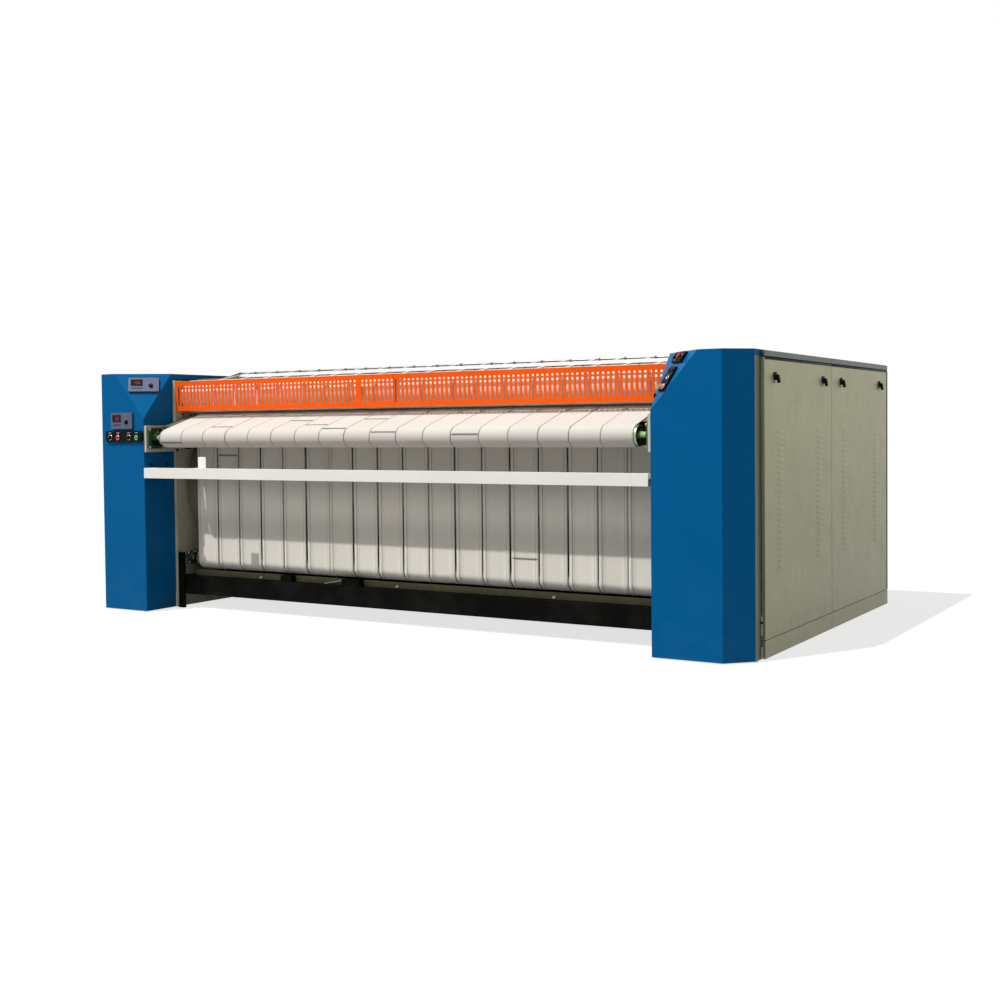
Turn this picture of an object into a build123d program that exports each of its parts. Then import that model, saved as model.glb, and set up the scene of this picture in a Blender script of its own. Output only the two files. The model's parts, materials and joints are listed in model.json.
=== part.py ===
from build123d import *
from math import asin, atan2, cos, degrees, hypot, pi, radians, sin, tan
import os

# Flatwork ironer with two heated drums, a belt in-feed and canvas ironing belts.
# Millimetres. X runs across the machine, Y from the operator's side to the back, Z up from the floor.
# A "depth" is measured backwards from the front plane of the two end cabinets.

os.makedirs("parts", exist_ok=True)

# ---------------------------------------------------------------- driving sizes: the machine
cabinet_gap = 3460.0
cabinet_depth = 2436.0
cabinet_height = 1500.0
cabinet_front_width = 369.0
chamfer_across = 119.0
chamfer_deep = 120.0
cabinet_inner_deep = 252.0
blue_strip_back = 770.0
blue_strip_drop = 35.0
sheet = 3.0
floor_gap = 6.0

facet_across = 247.0
facet_deep = 241.0
facet_low = 1214.0

corner_strip_back = 206.0
corner_strip_flange = 30.0
door_proud = 17.0
door_sheet = 1.5
door_low = 97.0
door_top_drop = 37.0
door_split = 1275.0
door_rear = 2430.0
door_joint = 2.0
top_strip_drop = 31.0
top_strip_inset = 4.0
kick_joint = 3.0

latch_drop = 125.0
latch_depths = {"front_door_front": 357.0, "front_door_rear": 1121.0,
                "rear_door_front": 1450.0, "rear_door_rear": 2238.0}
latch_disc_radius = 20.0
latch_disc_thick = 7.0
latch_proud = 22.0
latch_wing_length = 46.0
latch_wing_width = 15.0
latch_wing_angle = -58.0
latch_spindle_radius = 5.0
latch_tongue_length = 66.0
latch_tongue_width = 18.0
latch_tongue_thick = 5.0
latch_tongue_gap = 4.0

louver_width = 92.0
louver_slot_high = 5.0
louver_pitch = 29.2
louver_rows = 24
louver_low = 430.0
louver_centres = {"front": (436.0, 1057.5), "rear": (1520.0, 2161.0)}

# ---------------------------------------------------------------- frames
tube = 40.0
tube_wall = 4.0
weld_gap = 0.5
foot_height = 30.0
foot_radius = 18.0
foot_stem_radius = 10.0
foot_disc_high = 10.0
frame_top_drop = 37.0

wall_plate = 8.0
wall_flange = 20.0
wall_flange_thick = 6.0
rail_low = 60.0
wall_top_drop = 42.0

post_width = 77.0
post_high = 356.0
front_post_width = 50.0
front_post_front = 260.0
beam_low = 88.0
beam_high = 207.0
beam_front = 285.0
beam_deep = 52.0
panel_joint = 1.5
block_high = 39.0
block_inset = 4.0
block_spans = {"narrow": (-885.0, -800.0), "wide": (-415.0, -280.0)}

pan_low = 190.0
pan_high = 244.0
pan_back = 900.0
pan_sheet = 3.0
pan_clear = 5.0
pan_bolt_middle = -41.0
pan_bolt_pitch = 1041.0
pan_bolt_high = 216.0

# ---------------------------------------------------------------- in-feed
nose_depth = 80.0
nose_high = 1090.0
feed_angle = 17.2
rear_feed_depth = 436.3
feed_roller_radius = 54.0
feed_roller_left_room = 105.0
feed_roller_right_room = 90.0
belt_clear = 0.5
feed_belt_thick = 3.5
feed_belt_count = 18
feed_belts_room = 220.0
feed_belt_joint = 4.0
feed_belt_middle = 9.0
feed_bed_clear = 2.5
feed_bed_sheet = 3.0
feed_bed_margin = 75.0
bed_wall_gap = 1.0

roller_wall = 6.0
roller_disc = 12.0
roller_disc_inset = 10.0
shaft_radius = 20.0
shaft_end_gap = 1.0
running_fit = 0.05

press_roll_radius = 104.0
press_core_radius = 92.0
press_nip_gap = 0.9
press_roll_room = 40.0

feed_plate_thick = 16.0
feed_plate_front = 4.0
feed_plate_joint = 4.0
feed_plate_ends = {-1: (1004.0, 1170.0), 1: (1009.0, 1198.0)}

flange_sizes = {"nose": 131.0, "press": 110.0, "small": 86.0}
flange_thick = 13.0
hub_length = 32.0
hub_wall = 14.0
flange_corner = 12.0
bolt_margin = 11.0
drum_bolt_margin = 33.0
bolt_head_radius = 8.0
bolt_head_high = 7.0

# ---------------------------------------------------------------- ironing section
drum_radius = 480.0
drum_wall = 16.0
drum_room = 40.0
drum_belt_gap = 18.0
drum_gap = 37.0
drum_high = 790.0
drum_disc = 20.0
journal_radius = 60.0
journal_hole_clear = 15.0
journal_reach = 160.0
drum_flange_size = 260.0
drum_flange_thick = 20.0
drum_hub_radius = 95.0
drum_hub_length = 50.0

iron_belt_front = 320.0
iron_belt_thick = 3.5
iron_belt_count = 18
iron_belts_room = 225.4
iron_belt_joint = 10.0
iron_belt_middle = 21.0
lower_roller_high = 314.0
lower_roller_radius = 60.0
upper_roller_high = 1060.0
upper_roller_radius = 30.0
mid_roller_high = 440.0
rear_roller_depth = 2290.0
rear_roller_high = 300.0
iron_roller_left_room = 112.0
iron_roller_right_room = 88.0

# ---------------------------------------------------------------- drive
sprocket_reach = 130.0
sprocket_thick = 16.0
drum_sprocket_radius = 200.0
motor_sprocket_radius = 62.0
drum_teeth = 60
tooth_share = 0.64
chain_width = 12.0
chain_thick = 12.0
chain_clear = 1.0
motor_depth = 1312.0
motor_high = 330.0
motor_radius = 80.0
motor_length = 210.0
gearbox_size = 190.0
gearbox_wide = 170.0
motor_shaft_radius = 22.0
motor_fin_count = 24
motor_fin_high = 8.0
motor_fin_thick = 4.0

# ---------------------------------------------------------------- guard, tapes, stop bar
guard_front = 257.0
guard_sheet = 2.0
guard_room = 22.0
guard_low = 1262.0
guard_high = 1450.0
guard_split = 11.0
guard_joint = 2.0
guard_land = -242.0
guard_land_half = 28.0
guard_flange = 16.0
guard_ear = 35.0
guard_ear_high = 23.0
slot_pitch = 30.0
slot_width = 14.0
slot_low = 1289.0
slot_high = 1421.0

rod_radius = 6.0
front_rod_depth = 283.0
front_rod_high = 1439.0
lower_rod_high = 1272.0
rear_rod_depth = 600.0
rear_rod_high = 1505.0
rear_rod_left_room = 240.0
rear_rod_right_room = 60.0
tape_tube_depth = 470.0
tape_tube_high = 1454.0
tape_tube_radius = 18.0
tape_tube_wall = 2.5
tape_arm_thick = 6.0
tape_arm_inset = 24.0
tape_arm_clear = 0.3
tape_count = 18
tapes_room = 268.6
tape_middle = 116.0
tape_width = 14.0
tape_thick = 1.2
tape_clear = 0.4

bar_low = 842.0
bar_high = 906.0
bar_front = -12.0
bar_deep = 40.0
bar_sheet = 3.0
bar_travel = 8.0
bar_pin_radius = 8.0
bar_pin_length = 120.0
bar_bracket_deep = 70.0
bar_bracket_thick = 8.0
bar_bracket_spare = 4.0
bar_pin_inset = 26.0

# ---------------------------------------------------------------- covers, services
hood_front = 770.0
hood_drop = 30.0
hood_lip = 70.0
slot_exit_low = 1000.0
slot_exit_high = 1150.0
exhaust_radius = 75.0
exhaust_wall = 3.0
exhaust_from_wall = 230.0
exhaust_high = 1250.0
exhaust_length = 260.0
exhaust_reach = 40.0
exhaust_box = 300.0
steam_outer = 35.0
steam_inner = 25.0
steam_depth = 1500.0
steam_from_wall = 220.0
header_radius = 30.0
rotary_radius = 45.0
hole_clear = 3.0

# ---------------------------------------------------------------- controls
case_width = 187.0
case_height = 102.0
case_proud = 14.0
case_corner = 6.0
window_width = 66.0
window_height = 38.0
window_deep = 3.0
window_clear = 0.3
window_shift = (-42.0, 14.0)
knob_shift = (43.0, -8.0)
knob_radius = 15.0
front_reach = 26.0
plate_thick = 12.0
plate_corner = 20.0
button_radius = 11.0
button_top = 22.0
button_travel = 4.0
button_spare = 1.0
button_fit = 0.4
bezel_radius = 16.0
bezel_high = 3.0
mushroom_radius = 18.0
mushroom_stem = 9.0
mushroom_base = 6.0
mushroom_low = 20.0
mushroom_high = 30.0
selector_radius = 13.0
selector_high = 14.0
spindle_radius = 4.0
spindle_length = 9.0
knob_gap = 0.4
grip_share = 0.9
grip_width_share = 0.6

meter_from_wall = 88.0
meter_depth = 91.0
meter_high = 1423.0
controller_from_wall = 181.0
controller_high = 1202.0
left_plate_from_wall = 166.0
left_plate_high = 1104.0
left_plate_size = (322.0, 69.0)
left_selector_a = -121.0
left_button_red = -50.0
left_selector_b = 45.0
left_button_green = 115.0
left_row = -8.0
upper_plate_from_wall = 118.0
upper_plate_depth = 99.0
upper_plate_high = 1468.0
upper_plate_size = (130.0, 58.0)
lower_plate_from_wall = 75.0
lower_plate_depth = 52.0
lower_plate_high = 1363.0
lower_plate_size = (80.0, 134.0)
upper_selector_shift = (-26.0, -4.0)
upper_mushroom_shift = (36.0, -2.0)
lower_button_shift = (-18.0, -48.0)

# ---------------------------------------------------------------- dependent places
inner_x = cabinet_gap / 2
outer_x = inner_x + cabinet_front_width + chamfer_across
door_x = outer_x + door_proud
side_reach_x = door_x + latch_proud
rear_reach_y = (front_reach + cabinet_depth + exhaust_reach) / 2
front_y = front_reach - rear_reach_y
back_y = front_y + cabinet_depth
wall_x = inner_x - wall_plate
shaft_end = wall_x - shaft_end_gap
rear_post_back = cabinet_depth - sheet
blue_strip_low = cabinet_height - blue_strip_drop
door_high = cabinet_height - door_top_drop
top_strip_low = cabinet_height - top_strip_drop
top_strip_high = cabinet_height - top_strip_inset
latch_height = cabinet_height - latch_drop
frame_top = cabinet_height - frame_top_drop
wall_high = cabinet_height - wall_top_drop
hood_high = cabinet_height - hood_drop
feed_roller_left = feed_roller_left_room - inner_x
feed_roller_right = inner_x - feed_roller_right_room
feed_belt_pitch = (cabinet_gap - feed_belts_room) / feed_belt_count
press_roll_half = inner_x - press_roll_room
drum_half = inner_x - drum_room
drum_1_depth = iron_belt_front + drum_belt_gap + drum_radius
drum_2_depth = drum_1_depth + 2 * drum_radius + drum_gap
journal_end = inner_x + journal_reach
iron_belt_pitch = (cabinet_gap - iron_belts_room) / iron_belt_count
iron_roller_left = iron_roller_left_room - inner_x
iron_roller_right = inner_x - iron_roller_right_room
sprocket_middle = inner_x + sprocket_reach
guard_half = inner_x - guard_room
rear_rod_ends = (rear_rod_left_room - inner_x, inner_x - rear_rod_right_room)
beam_back = beam_front + beam_deep
tape_pitch = (cabinet_gap - tapes_room) / tape_count
exhaust_x = -inner_x - exhaust_from_wall
steam_x = -inner_x - steam_from_wall
meter_centre = (-inner_x - meter_from_wall, meter_depth)
controller_x = -inner_x - controller_from_wall
left_plate_x = -inner_x - left_plate_from_wall
upper_plate_centre = (inner_x + upper_plate_from_wall, upper_plate_depth)
lower_plate_centre = (inner_x + lower_plate_from_wall, lower_plate_depth)


def at(depth):
    """Y of a depth behind the cabinets' front plane."""
    return front_y + depth


feed_cos = cos(radians(feed_angle))
feed_length = (rear_feed_depth - nose_depth) / feed_cos
feed_sin = sin(radians(feed_angle))
belt_outer = feed_roller_radius + belt_clear + feed_belt_thick
nose_axis = (at(nose_depth), nose_high)
feed_axis = (nose_axis[0] + feed_length * feed_cos, nose_axis[1] + feed_length * feed_sin)
press_lift = belt_outer + press_nip_gap + press_roll_radius
press_axis = (feed_axis[0] - press_lift * feed_sin, feed_axis[1] + press_lift * feed_cos)
iron_belt_skin = belt_clear + iron_belt_thick
lower_axis = (at(iron_belt_front) + lower_roller_radius + iron_belt_skin, lower_roller_high)
upper_axis = (at(iron_belt_front) + upper_roller_radius + iron_belt_skin, upper_roller_high)
mid_axis = (at((drum_1_depth + drum_2_depth) / 2), mid_roller_high)
rear_axis = (at(rear_roller_depth), rear_roller_high)
drum_1_axis = (at(drum_1_depth), drum_high)
drum_2_axis = (at(drum_2_depth), drum_high)
motor_axis = (at(motor_depth), motor_high)
front_rod_axis = (at(front_rod_depth), front_rod_high)
lower_rod_axis = (at(front_rod_depth), lower_rod_high)
rear_rod_axis = (at(rear_rod_depth), rear_rod_high)
tape_tube_axis = (at(tape_tube_depth), tape_tube_high)
sides = (-1, 1)


def write(builder, label):
    """Label a finished piece and save it under its own name."""
    builder.part.label = label
    export_step(builder.part, f"parts/{label}.step")


def span(low, high):
    """Middle and length of a stretch."""
    return (low + high) / 2, high - low


def block(x_low, x_high, y_low, y_high, z_low, z_high, mode=Mode.ADD):
    """A box between two corners, in the part being built."""
    x_mid, x_len = span(min(x_low, x_high), max(x_low, x_high))
    y_mid, y_len = span(y_low, y_high)
    z_mid, z_len = span(z_low, z_high)
    with Locations((x_mid, y_mid, z_mid)):
        Box(x_len, y_len, z_len, mode=mode)


def bar_along_x(x_low, x_high, axis, radius, mode=Mode.ADD):
    """A round bar across the machine, about an axis given as (Y, Z)."""
    with BuildSketch(Plane.YZ.offset(x_low)) as section:
        with Locations(axis):
            Circle(radius)
    extrude(section.sketch, amount=x_high - x_low, mode=mode)


def square_tube(x_low, x_high, y_low, y_high, z_low, z_high):
    """A hollow square tube whose longest side is its length."""
    block(x_low, x_high, y_low, y_high, z_low, z_high)
    lengths = {"x": abs(x_high - x_low), "y": y_high - y_low, "z": z_high - z_low}
    along = max(lengths, key=lengths.get)
    x_in, y_in, z_in = (0 if along == key else tube_wall for key in "xyz")
    x_low, x_high = min(x_low, x_high), max(x_low, x_high)
    block(x_low + x_in, x_high - x_in, y_low + y_in, y_high - y_in,
          z_low + z_in, z_high - z_in, mode=Mode.SUBTRACT)


def facet_plane(side, centre, height, lift=0.0):
    """Plane on a cabinet's sloped facet, local x to the right seen from in front, z outwards."""
    across = Vector(facet_across, -side * facet_deep, 0).normalized()
    down = Vector(0, facet_deep, cabinet_height - facet_low).normalized()
    outward = across.cross(down).normalized()
    if outward.Y > 0:
        outward = -outward
    level = Vector(side * inner_x, at(0), facet_low)
    point = Vector(centre[0], at(centre[1]), height)
    point = point - outward * ((point - level).dot(outward) - lift)
    return Plane(origin=point, x_dir=across, z_dir=outward)


def front_plane(x, height):
    """Plane on a cabinet's front, local x to the right, z towards the operator."""
    return Plane(origin=(x, at(0), height), x_dir=(1, 0, 0), z_dir=(0, -1, 0))


# ---------------------------------------------------------------- belts as loops round wheels
def belt_edge(wheels, grow):
    """Closed line round the wheels, (y, z, radius, turn): turn +1 inside the loop, -1 outside it.

    grow moves the line away from the inside wheels, which is towards the outside ones."""
    tangents = []
    count = len(wheels)
    for index in range(count):
        y1, z1, r1, turn1 = wheels[index]
        y2, z2, r2, turn2 = wheels[(index + 1) % count]
        reach1 = turn1 * r1 + grow
        reach2 = turn2 * r2 + grow
        dy, dz = y2 - y1, z2 - z1
        angle = atan2(dz, dy) - asin((reach2 - reach1) / hypot(dy, dz))
        normal = (-sin(angle), cos(angle))
        start = (y1 - reach1 * normal[0], z1 - reach1 * normal[1])
        end = (y2 - reach2 * normal[0], z2 - reach2 * normal[1])
        tangents.append((start, end))
    for index in range(count):
        y, z, radius, turn = wheels[index]
        arrive = tangents[index - 1][1]
        leave = tangents[index][0]
        arrive_angle = degrees(atan2(arrive[1] - z, arrive[0] - y))
        leave_angle = degrees(atan2(leave[1] - z, leave[0] - y))
        sweep_angle = (leave_angle - arrive_angle) % 360
        if turn < 0:
            sweep_angle -= 360
        Line(*tangents[index])
        CenterArc((y, z), abs(turn * radius + grow), arrive_angle, sweep_angle)


def belt_ring(wheels, clear, thick):
    """Face of a belt that runs round the wheels with a clearance."""
    with BuildLine() as outside:
        belt_edge(wheels, clear + thick)
    make_face(outside.edges())
    with BuildLine() as inside:
        belt_edge(wheels, clear)
    make_face(inside.edges(), mode=Mode.SUBTRACT)


# ---------------------------------------------------------------- base frame and feet
def feet_places():
    """Centres of the levelling feet."""
    post_middle = wall_x - post_width / 2
    for side in sides:
        yield side * post_middle, at(rear_post_back) - post_width / 2
        for middle in cabinet_post_middles():
            yield side * (outer_x - sheet - tube / 2), at(middle)


def cabinet_post_middles():
    """Depths of the cabinet posts' middles."""
    front = (chamfer_deep + corner_strip_back) / 2
    return front, door_split, door_rear - tube / 2


with BuildPart() as base_frame:
    rear_post_front = at(rear_post_back) - post_width
    rear_beam_half = wall_x - post_width - weld_gap
    for side in sides:
        near, far = side * (wall_x - post_width), side * wall_x
        block(side * (wall_x - front_post_width), far, at(front_post_front), at(beam_front) - weld_gap,
              0, post_high)
        block(near, far, rear_post_front, at(rear_post_back), foot_height, post_high)
        block(near, far, at(beam_back) + weld_gap, rear_post_front - weld_gap, beam_low, beam_high)
    block(-wall_x, wall_x, at(beam_front), at(beam_back), beam_low, beam_high)
    block(-rear_beam_half, rear_beam_half, rear_post_front, at(rear_post_back), beam_low, beam_high)
    for low, high in block_spans.values():
        block(low, high, at(beam_front) + block_inset, at(beam_back) - block_inset,
              beam_high + weld_gap, beam_high + block_high)
write(base_frame, "base_frame")

with BuildPart() as levelling_feet:
    for foot_x, foot_y in feet_places():
        with BuildSketch(Plane.XY):
            with Locations((foot_x, foot_y)):
                Circle(foot_radius)
        extrude(amount=foot_disc_high)
        with BuildSketch(Plane.XY.offset(foot_disc_high)):
            with Locations((foot_x, foot_y)):
                Circle(foot_stem_radius)
        extrude(amount=foot_height - foot_disc_high)
write(levelling_feet, "levelling_feet")

with BuildPart() as cabinet_frames:
    frame_out = outer_x - sheet
    frame_in = frame_out - tube
    post_middles = [at(middle) for middle in cabinet_post_middles()]
    for side in sides:
        for middle in post_middles:
            square_tube(side * frame_in, side * frame_out, middle - tube / 2, middle + tube / 2,
                        foot_height, frame_top)
        for middle in post_middles[1:]:
            for low in (rail_low, frame_top - tube):
                square_tube(side * inner_x, side * (frame_in - weld_gap), middle - tube / 2,
                            middle + tube / 2, low, low + tube)
        for start, end in zip(post_middles, post_middles[1:]):
            for low in (rail_low, frame_top - tube):
                square_tube(side * frame_in, side * frame_out, start + tube / 2 + weld_gap,
                            end - tube / 2 - weld_gap, low, low + tube)
write(cabinet_frames, "cabinet_frames")

with BuildPart() as side_frames:
    for side in sides:
        block(side * wall_x, side * inner_x, at(cabinet_inner_deep), at(rear_post_back),
              floor_gap, wall_high)
        block(side * (inner_x - wall_flange), side * wall_x, at(cabinet_inner_deep),
              at(cabinet_inner_deep) + wall_flange_thick, floor_gap, wall_high)
        journal_hole = journal_radius + journal_hole_clear
        plate_low = min(side * wall_x, side * inner_x)
        for drum_axis in (drum_1_axis, drum_2_axis):
            bar_along_x(plate_low, plate_low + wall_plate, drum_axis, journal_hole,
                        mode=Mode.SUBTRACT)
write(side_frames, "side_frames")

with BuildPart() as front_pan:
    pan_front = at(beam_back)
    pan_half = wall_x - post_width - pan_clear
    block(-pan_half, pan_half, pan_front, pan_front + pan_sheet, pan_low, pan_high)
    block(-pan_half, pan_half, pan_front, at(pan_back), pan_low, pan_low + pan_sheet)
    block(-pan_half, pan_half, at(pan_back) - pan_sheet, at(pan_back), pan_low, pan_high)
write(front_pan, "front_pan")


# ---------------------------------------------------------------- cabinets' outer shells
def cabinet_block(side, inset, back):
    """Solid of a cabinet's front end, its faces moved inwards by the inset."""
    turn = atan2(chamfer_deep, chamfer_across)
    near = inner_x + inset
    far = outer_x - inset
    front = at(inset)
    front_cut = inset * tan(turn / 2)
    side_cut = inset * tan((pi / 2 - turn) / 2)
    points = [(near, back), (near, front), (inner_x + cabinet_front_width - front_cut, front),
              (far, at(chamfer_deep) + side_cut), (far, back)]
    with BuildPart() as body:
        with BuildSketch(Plane.XY.offset(0 if inset else floor_gap)):
            with BuildLine():
                Polyline(*[(side * x, y) for x, y in points], close=True)
            make_face()
        extrude(amount=cabinet_height - inset - (0 if inset else floor_gap))
        split(bisect_by=facet_plane(side, (side * inner_x, 0), facet_low, -inset),
              keep=Keep.BOTTOM)
    return body.part


shell_hollows = {side: cabinet_block(side, sheet, at(cabinet_inner_deep) + sheet) for side in sides}
shell_blocks = {side: cabinet_block(side, 0, at(cabinet_inner_deep)) for side in sides}

with BuildPart() as cabinet_shells:
    for side in sides:
        add(shell_blocks[side])
    for side in sides:
        add(shell_hollows[side], mode=Mode.SUBTRACT)
        block(side * (outer_x - 2 * sheet), side * (outer_x + sheet), at(chamfer_deep),
              at(cabinet_inner_deep) + sheet, 0, top_strip_low, mode=Mode.SUBTRACT)
        block(side * inner_x, side * (inner_x + sheet), at(cabinet_inner_deep),
              at(blue_strip_back), blue_strip_low, cabinet_height)
write(cabinet_shells, "cabinet_shells")


# ---------------------------------------------------------------- stainless covers
def side_tray(side, y_low, y_high, z_low, z_high):
    """A shallow pressed panel on a cabinet's outer side, open towards the machine."""
    block(side * outer_x, side * door_x, y_low, y_high, z_low, z_high)
    inner_wall = door_x - door_sheet
    block(side * outer_x, side * inner_wall, y_low + door_sheet, y_high - door_sheet,
          z_low + door_sheet, z_high - door_sheet, mode=Mode.SUBTRACT)


door_spans = {"front": (corner_strip_back + door_joint, door_split - door_joint),
              "rear": (door_split + door_joint, door_rear)}

with BuildPart() as steel_strips:
    for side in sides:
        web_in = outer_x - sheet
        block(side * web_in, side * outer_x, at(chamfer_deep), at(corner_strip_back),
              floor_gap, top_strip_low)
        block(side * (outer_x - corner_strip_flange), side * web_in, at(chamfer_deep),
              at(chamfer_deep) + sheet, floor_gap, top_strip_low)
        for start, end in door_spans.values():
            side_tray(side, at(start), at(end), top_strip_low, top_strip_high)
            side_tray(side, at(start), at(end), floor_gap, door_low - kick_joint)
write(steel_strips, "steel_strips")

with BuildPart() as roof_panels:
    for side in sides:
        block(side * (inner_x + sheet), side * outer_x, at(cabinet_inner_deep), at(blue_strip_back),
              cabinet_height - sheet, cabinet_height)
        block(side * inner_x, side * outer_x, at(blue_strip_back), back_y,
              cabinet_height - sheet, cabinet_height)
        block(side * inner_x, side * (inner_x + sheet), at(blue_strip_back), back_y - sheet,
              blue_strip_low, cabinet_height)
    hood_half = inner_x - sheet
    block(-hood_half, hood_half, at(hood_front), back_y - sheet, hood_high - sheet, hood_high)
    block(-wall_x, wall_x, at(hood_front), at(hood_front) + sheet, hood_high - hood_lip, hood_high)
write(roof_panels, "roof_panels")

with BuildPart() as cover_panels:
    for start, end in door_spans.values():
        side_tray(-1, at(start), at(end), door_low, door_high)
    bar_along_x(-door_x - sheet, -outer_x, (at(steam_depth), drum_high), steam_outer + hole_clear,
                mode=Mode.SUBTRACT)
    for side in sides:
        block(side * inner_x, side * outer_x, back_y - sheet, back_y, floor_gap,
              cabinet_height - sheet)
    panel_half = inner_x - panel_joint
    block(-panel_half, panel_half, back_y - sheet, back_y, floor_gap, slot_exit_low)
    block(-panel_half, panel_half, back_y - sheet, back_y, slot_exit_high, hood_high - sheet)
    with BuildSketch(Plane.XZ.offset(-back_y - sheet)):
        with Locations((exhaust_x, exhaust_high)):
            Circle(exhaust_radius + hole_clear)
    extrude(amount=3 * sheet, mode=Mode.SUBTRACT)
write(cover_panels, "cover_panels")


# ---------------------------------------------------------------- louvred doors and wing latches
def door(name):
    """A louvred side door on the right cabinet, with holes for its two latch spindles."""
    start, end = door_spans[name]
    rows_high = (louver_rows - 1) * louver_pitch
    with BuildPart() as panel:
        side_tray(1, at(start), at(end), door_low, door_high)
        with BuildSketch(Plane.YZ.offset(door_x - 2 * door_sheet)):
            for centre in louver_centres[name]:
                with Locations((at(centre), louver_low + rows_high / 2)):
                    with GridLocations(louver_width, louver_pitch, 1, louver_rows):
                        Rectangle(louver_width, louver_slot_high)
            for key, depth in latch_depths.items():
                if key.startswith(name):
                    with Locations((at(depth), latch_height)):
                        Circle(latch_spindle_radius + running_fit)
        extrude(amount=3 * door_sheet, mode=Mode.SUBTRACT)
    write(panel, f"{name}_door")


for door_name in door_spans:
    door(door_name)


def wing_latch(label, depth):
    """Round latch with a wing grip outside and a tongue that turns up behind the frame's top rail."""
    axis = (at(depth), latch_height)
    face = door_x + knob_gap
    tongue_back = outer_x - sheet - tube - latch_tongue_gap
    with BuildPart() as latch:
        bar_along_x(tongue_back - latch_tongue_thick, face, axis, latch_spindle_radius)
        bar_along_x(face, face + latch_disc_thick, axis, latch_disc_radius)
        with BuildSketch(Plane.YZ.offset(face + latch_disc_thick)):
            with Locations(Location((axis[0], axis[1], 0), (0, 0, latch_wing_angle))):
                with Locations((latch_wing_length / 2 - latch_wing_width / 2, 0)):
                    SlotOverall(latch_wing_length, latch_wing_width)
        extrude(amount=latch_proud - latch_disc_thick - knob_gap)
        with BuildSketch(Plane.YZ.offset(tongue_back - latch_tongue_thick)):
            with Locations((axis[0] + latch_tongue_length / 2 - latch_tongue_width / 2, axis[1])):
                SlotOverall(latch_tongue_length, latch_tongue_width)
        extrude(amount=latch_tongue_thick)
    write(latch, label)


for latch_name, latch_depth in latch_depths.items():
    wing_latch(f"latch_{latch_name}", latch_depth)


# ---------------------------------------------------------------- rollers
def roller(label, axis, radius, x_low, x_high):
    """A tube with end discs set in and one shaft through, ending just short of the walls."""
    with BuildPart() as piece:
        bar_along_x(x_low, x_high, axis, radius)
        bar_along_x(x_low, x_high, axis, radius - roller_wall, mode=Mode.SUBTRACT)
        for disc_low in (x_low + roller_disc_inset, x_high - roller_disc_inset - roller_disc):
            bar_along_x(disc_low, disc_low + roller_disc, axis, radius - roller_wall)
        bar_along_x(-shaft_end, shaft_end, axis, shaft_radius)
    write(piece, label)


roller("nose_roller", nose_axis, feed_roller_radius, feed_roller_left, feed_roller_right)
roller("rear_feed_roller", feed_axis, feed_roller_radius, feed_roller_left, feed_roller_right)
roller("lower_front_roller", lower_axis, lower_roller_radius, iron_roller_left, iron_roller_right)
roller("upper_front_roller", upper_axis, upper_roller_radius, iron_roller_left, iron_roller_right)
roller("mid_roller", mid_axis, lower_roller_radius, iron_roller_left, iron_roller_right)
roller("rear_roller", rear_axis, lower_roller_radius, iron_roller_left, iron_roller_right)
roller("press_roll_core", press_axis, press_core_radius, -press_roll_half, press_roll_half)

with BuildPart() as press_roll_cloth:
    bar_along_x(-press_roll_half, press_roll_half, press_axis, press_roll_radius)
    bar_along_x(-press_roll_half, press_roll_half, press_axis, press_core_radius, mode=Mode.SUBTRACT)
write(press_roll_cloth, "press_roll_cloth")


def drum(label, axis):
    """A heated steel drum: shell, end discs and a hollow journal pressed right through them."""
    with BuildPart() as piece:
        bar_along_x(-drum_half, drum_half, axis, drum_radius)
        bar_along_x(-drum_half, drum_half, axis, drum_radius - drum_wall, mode=Mode.SUBTRACT)
        for disc_low in (-drum_half, drum_half - drum_disc):
            bar_along_x(disc_low, disc_low + drum_disc, axis, drum_radius - drum_wall)
        bar_along_x(-drum_half, drum_half, axis, journal_radius + running_fit, mode=Mode.SUBTRACT)
        bar_along_x(-journal_end, journal_end, axis, journal_radius)
        bar_along_x(-journal_end, journal_end, axis, steam_inner, mode=Mode.SUBTRACT)
    write(piece, label)


drum("drum_1", drum_1_axis)
drum("drum_2", drum_2_axis)


# ---------------------------------------------------------------- bearings and their bolts
def bearing_list():
    """Each flange bearing: axis, flange size, face it stands on, side."""
    for side in sides:
        yield nose_axis, flange_sizes["nose"], inner_x - feed_plate_thick, side
        yield press_axis, flange_sizes["press"], wall_x, side
        for axis in (feed_axis, lower_axis, upper_axis, mid_axis, rear_axis):
            yield axis, flange_sizes["small"], wall_x, side


with BuildPart() as feed_bearing_plates:
    for side in sides:
        block(side * (inner_x - feed_plate_thick), side * inner_x, at(feed_plate_front),
              at(cabinet_inner_deep - feed_plate_joint), *feed_plate_ends[side])
        plate_low = min(side * (inner_x - feed_plate_thick), side * inner_x)
        bar_along_x(plate_low, plate_low + feed_plate_thick, nose_axis,
                    shaft_radius + hole_clear, mode=Mode.SUBTRACT)
write(feed_bearing_plates, "feed_bearing_plates")

with BuildPart() as flange_bearings:
    for axis, size, face, side in bearing_list():
        with BuildSketch(Plane.YZ.offset(side * face)):
            with Locations(axis):
                RectangleRounded(size, size, flange_corner)
        extrude(amount=-side * flange_thick)
        hub_face = side * (face - hub_length)
        bar_along_x(min(hub_face, side * face), max(hub_face, side * face), axis,
                    shaft_radius + hub_wall)
        bar_along_x(min(hub_face, side * face), max(hub_face, side * face), axis,
                    shaft_radius + running_fit, mode=Mode.SUBTRACT)
write(flange_bearings, "flange_bearings")

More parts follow.
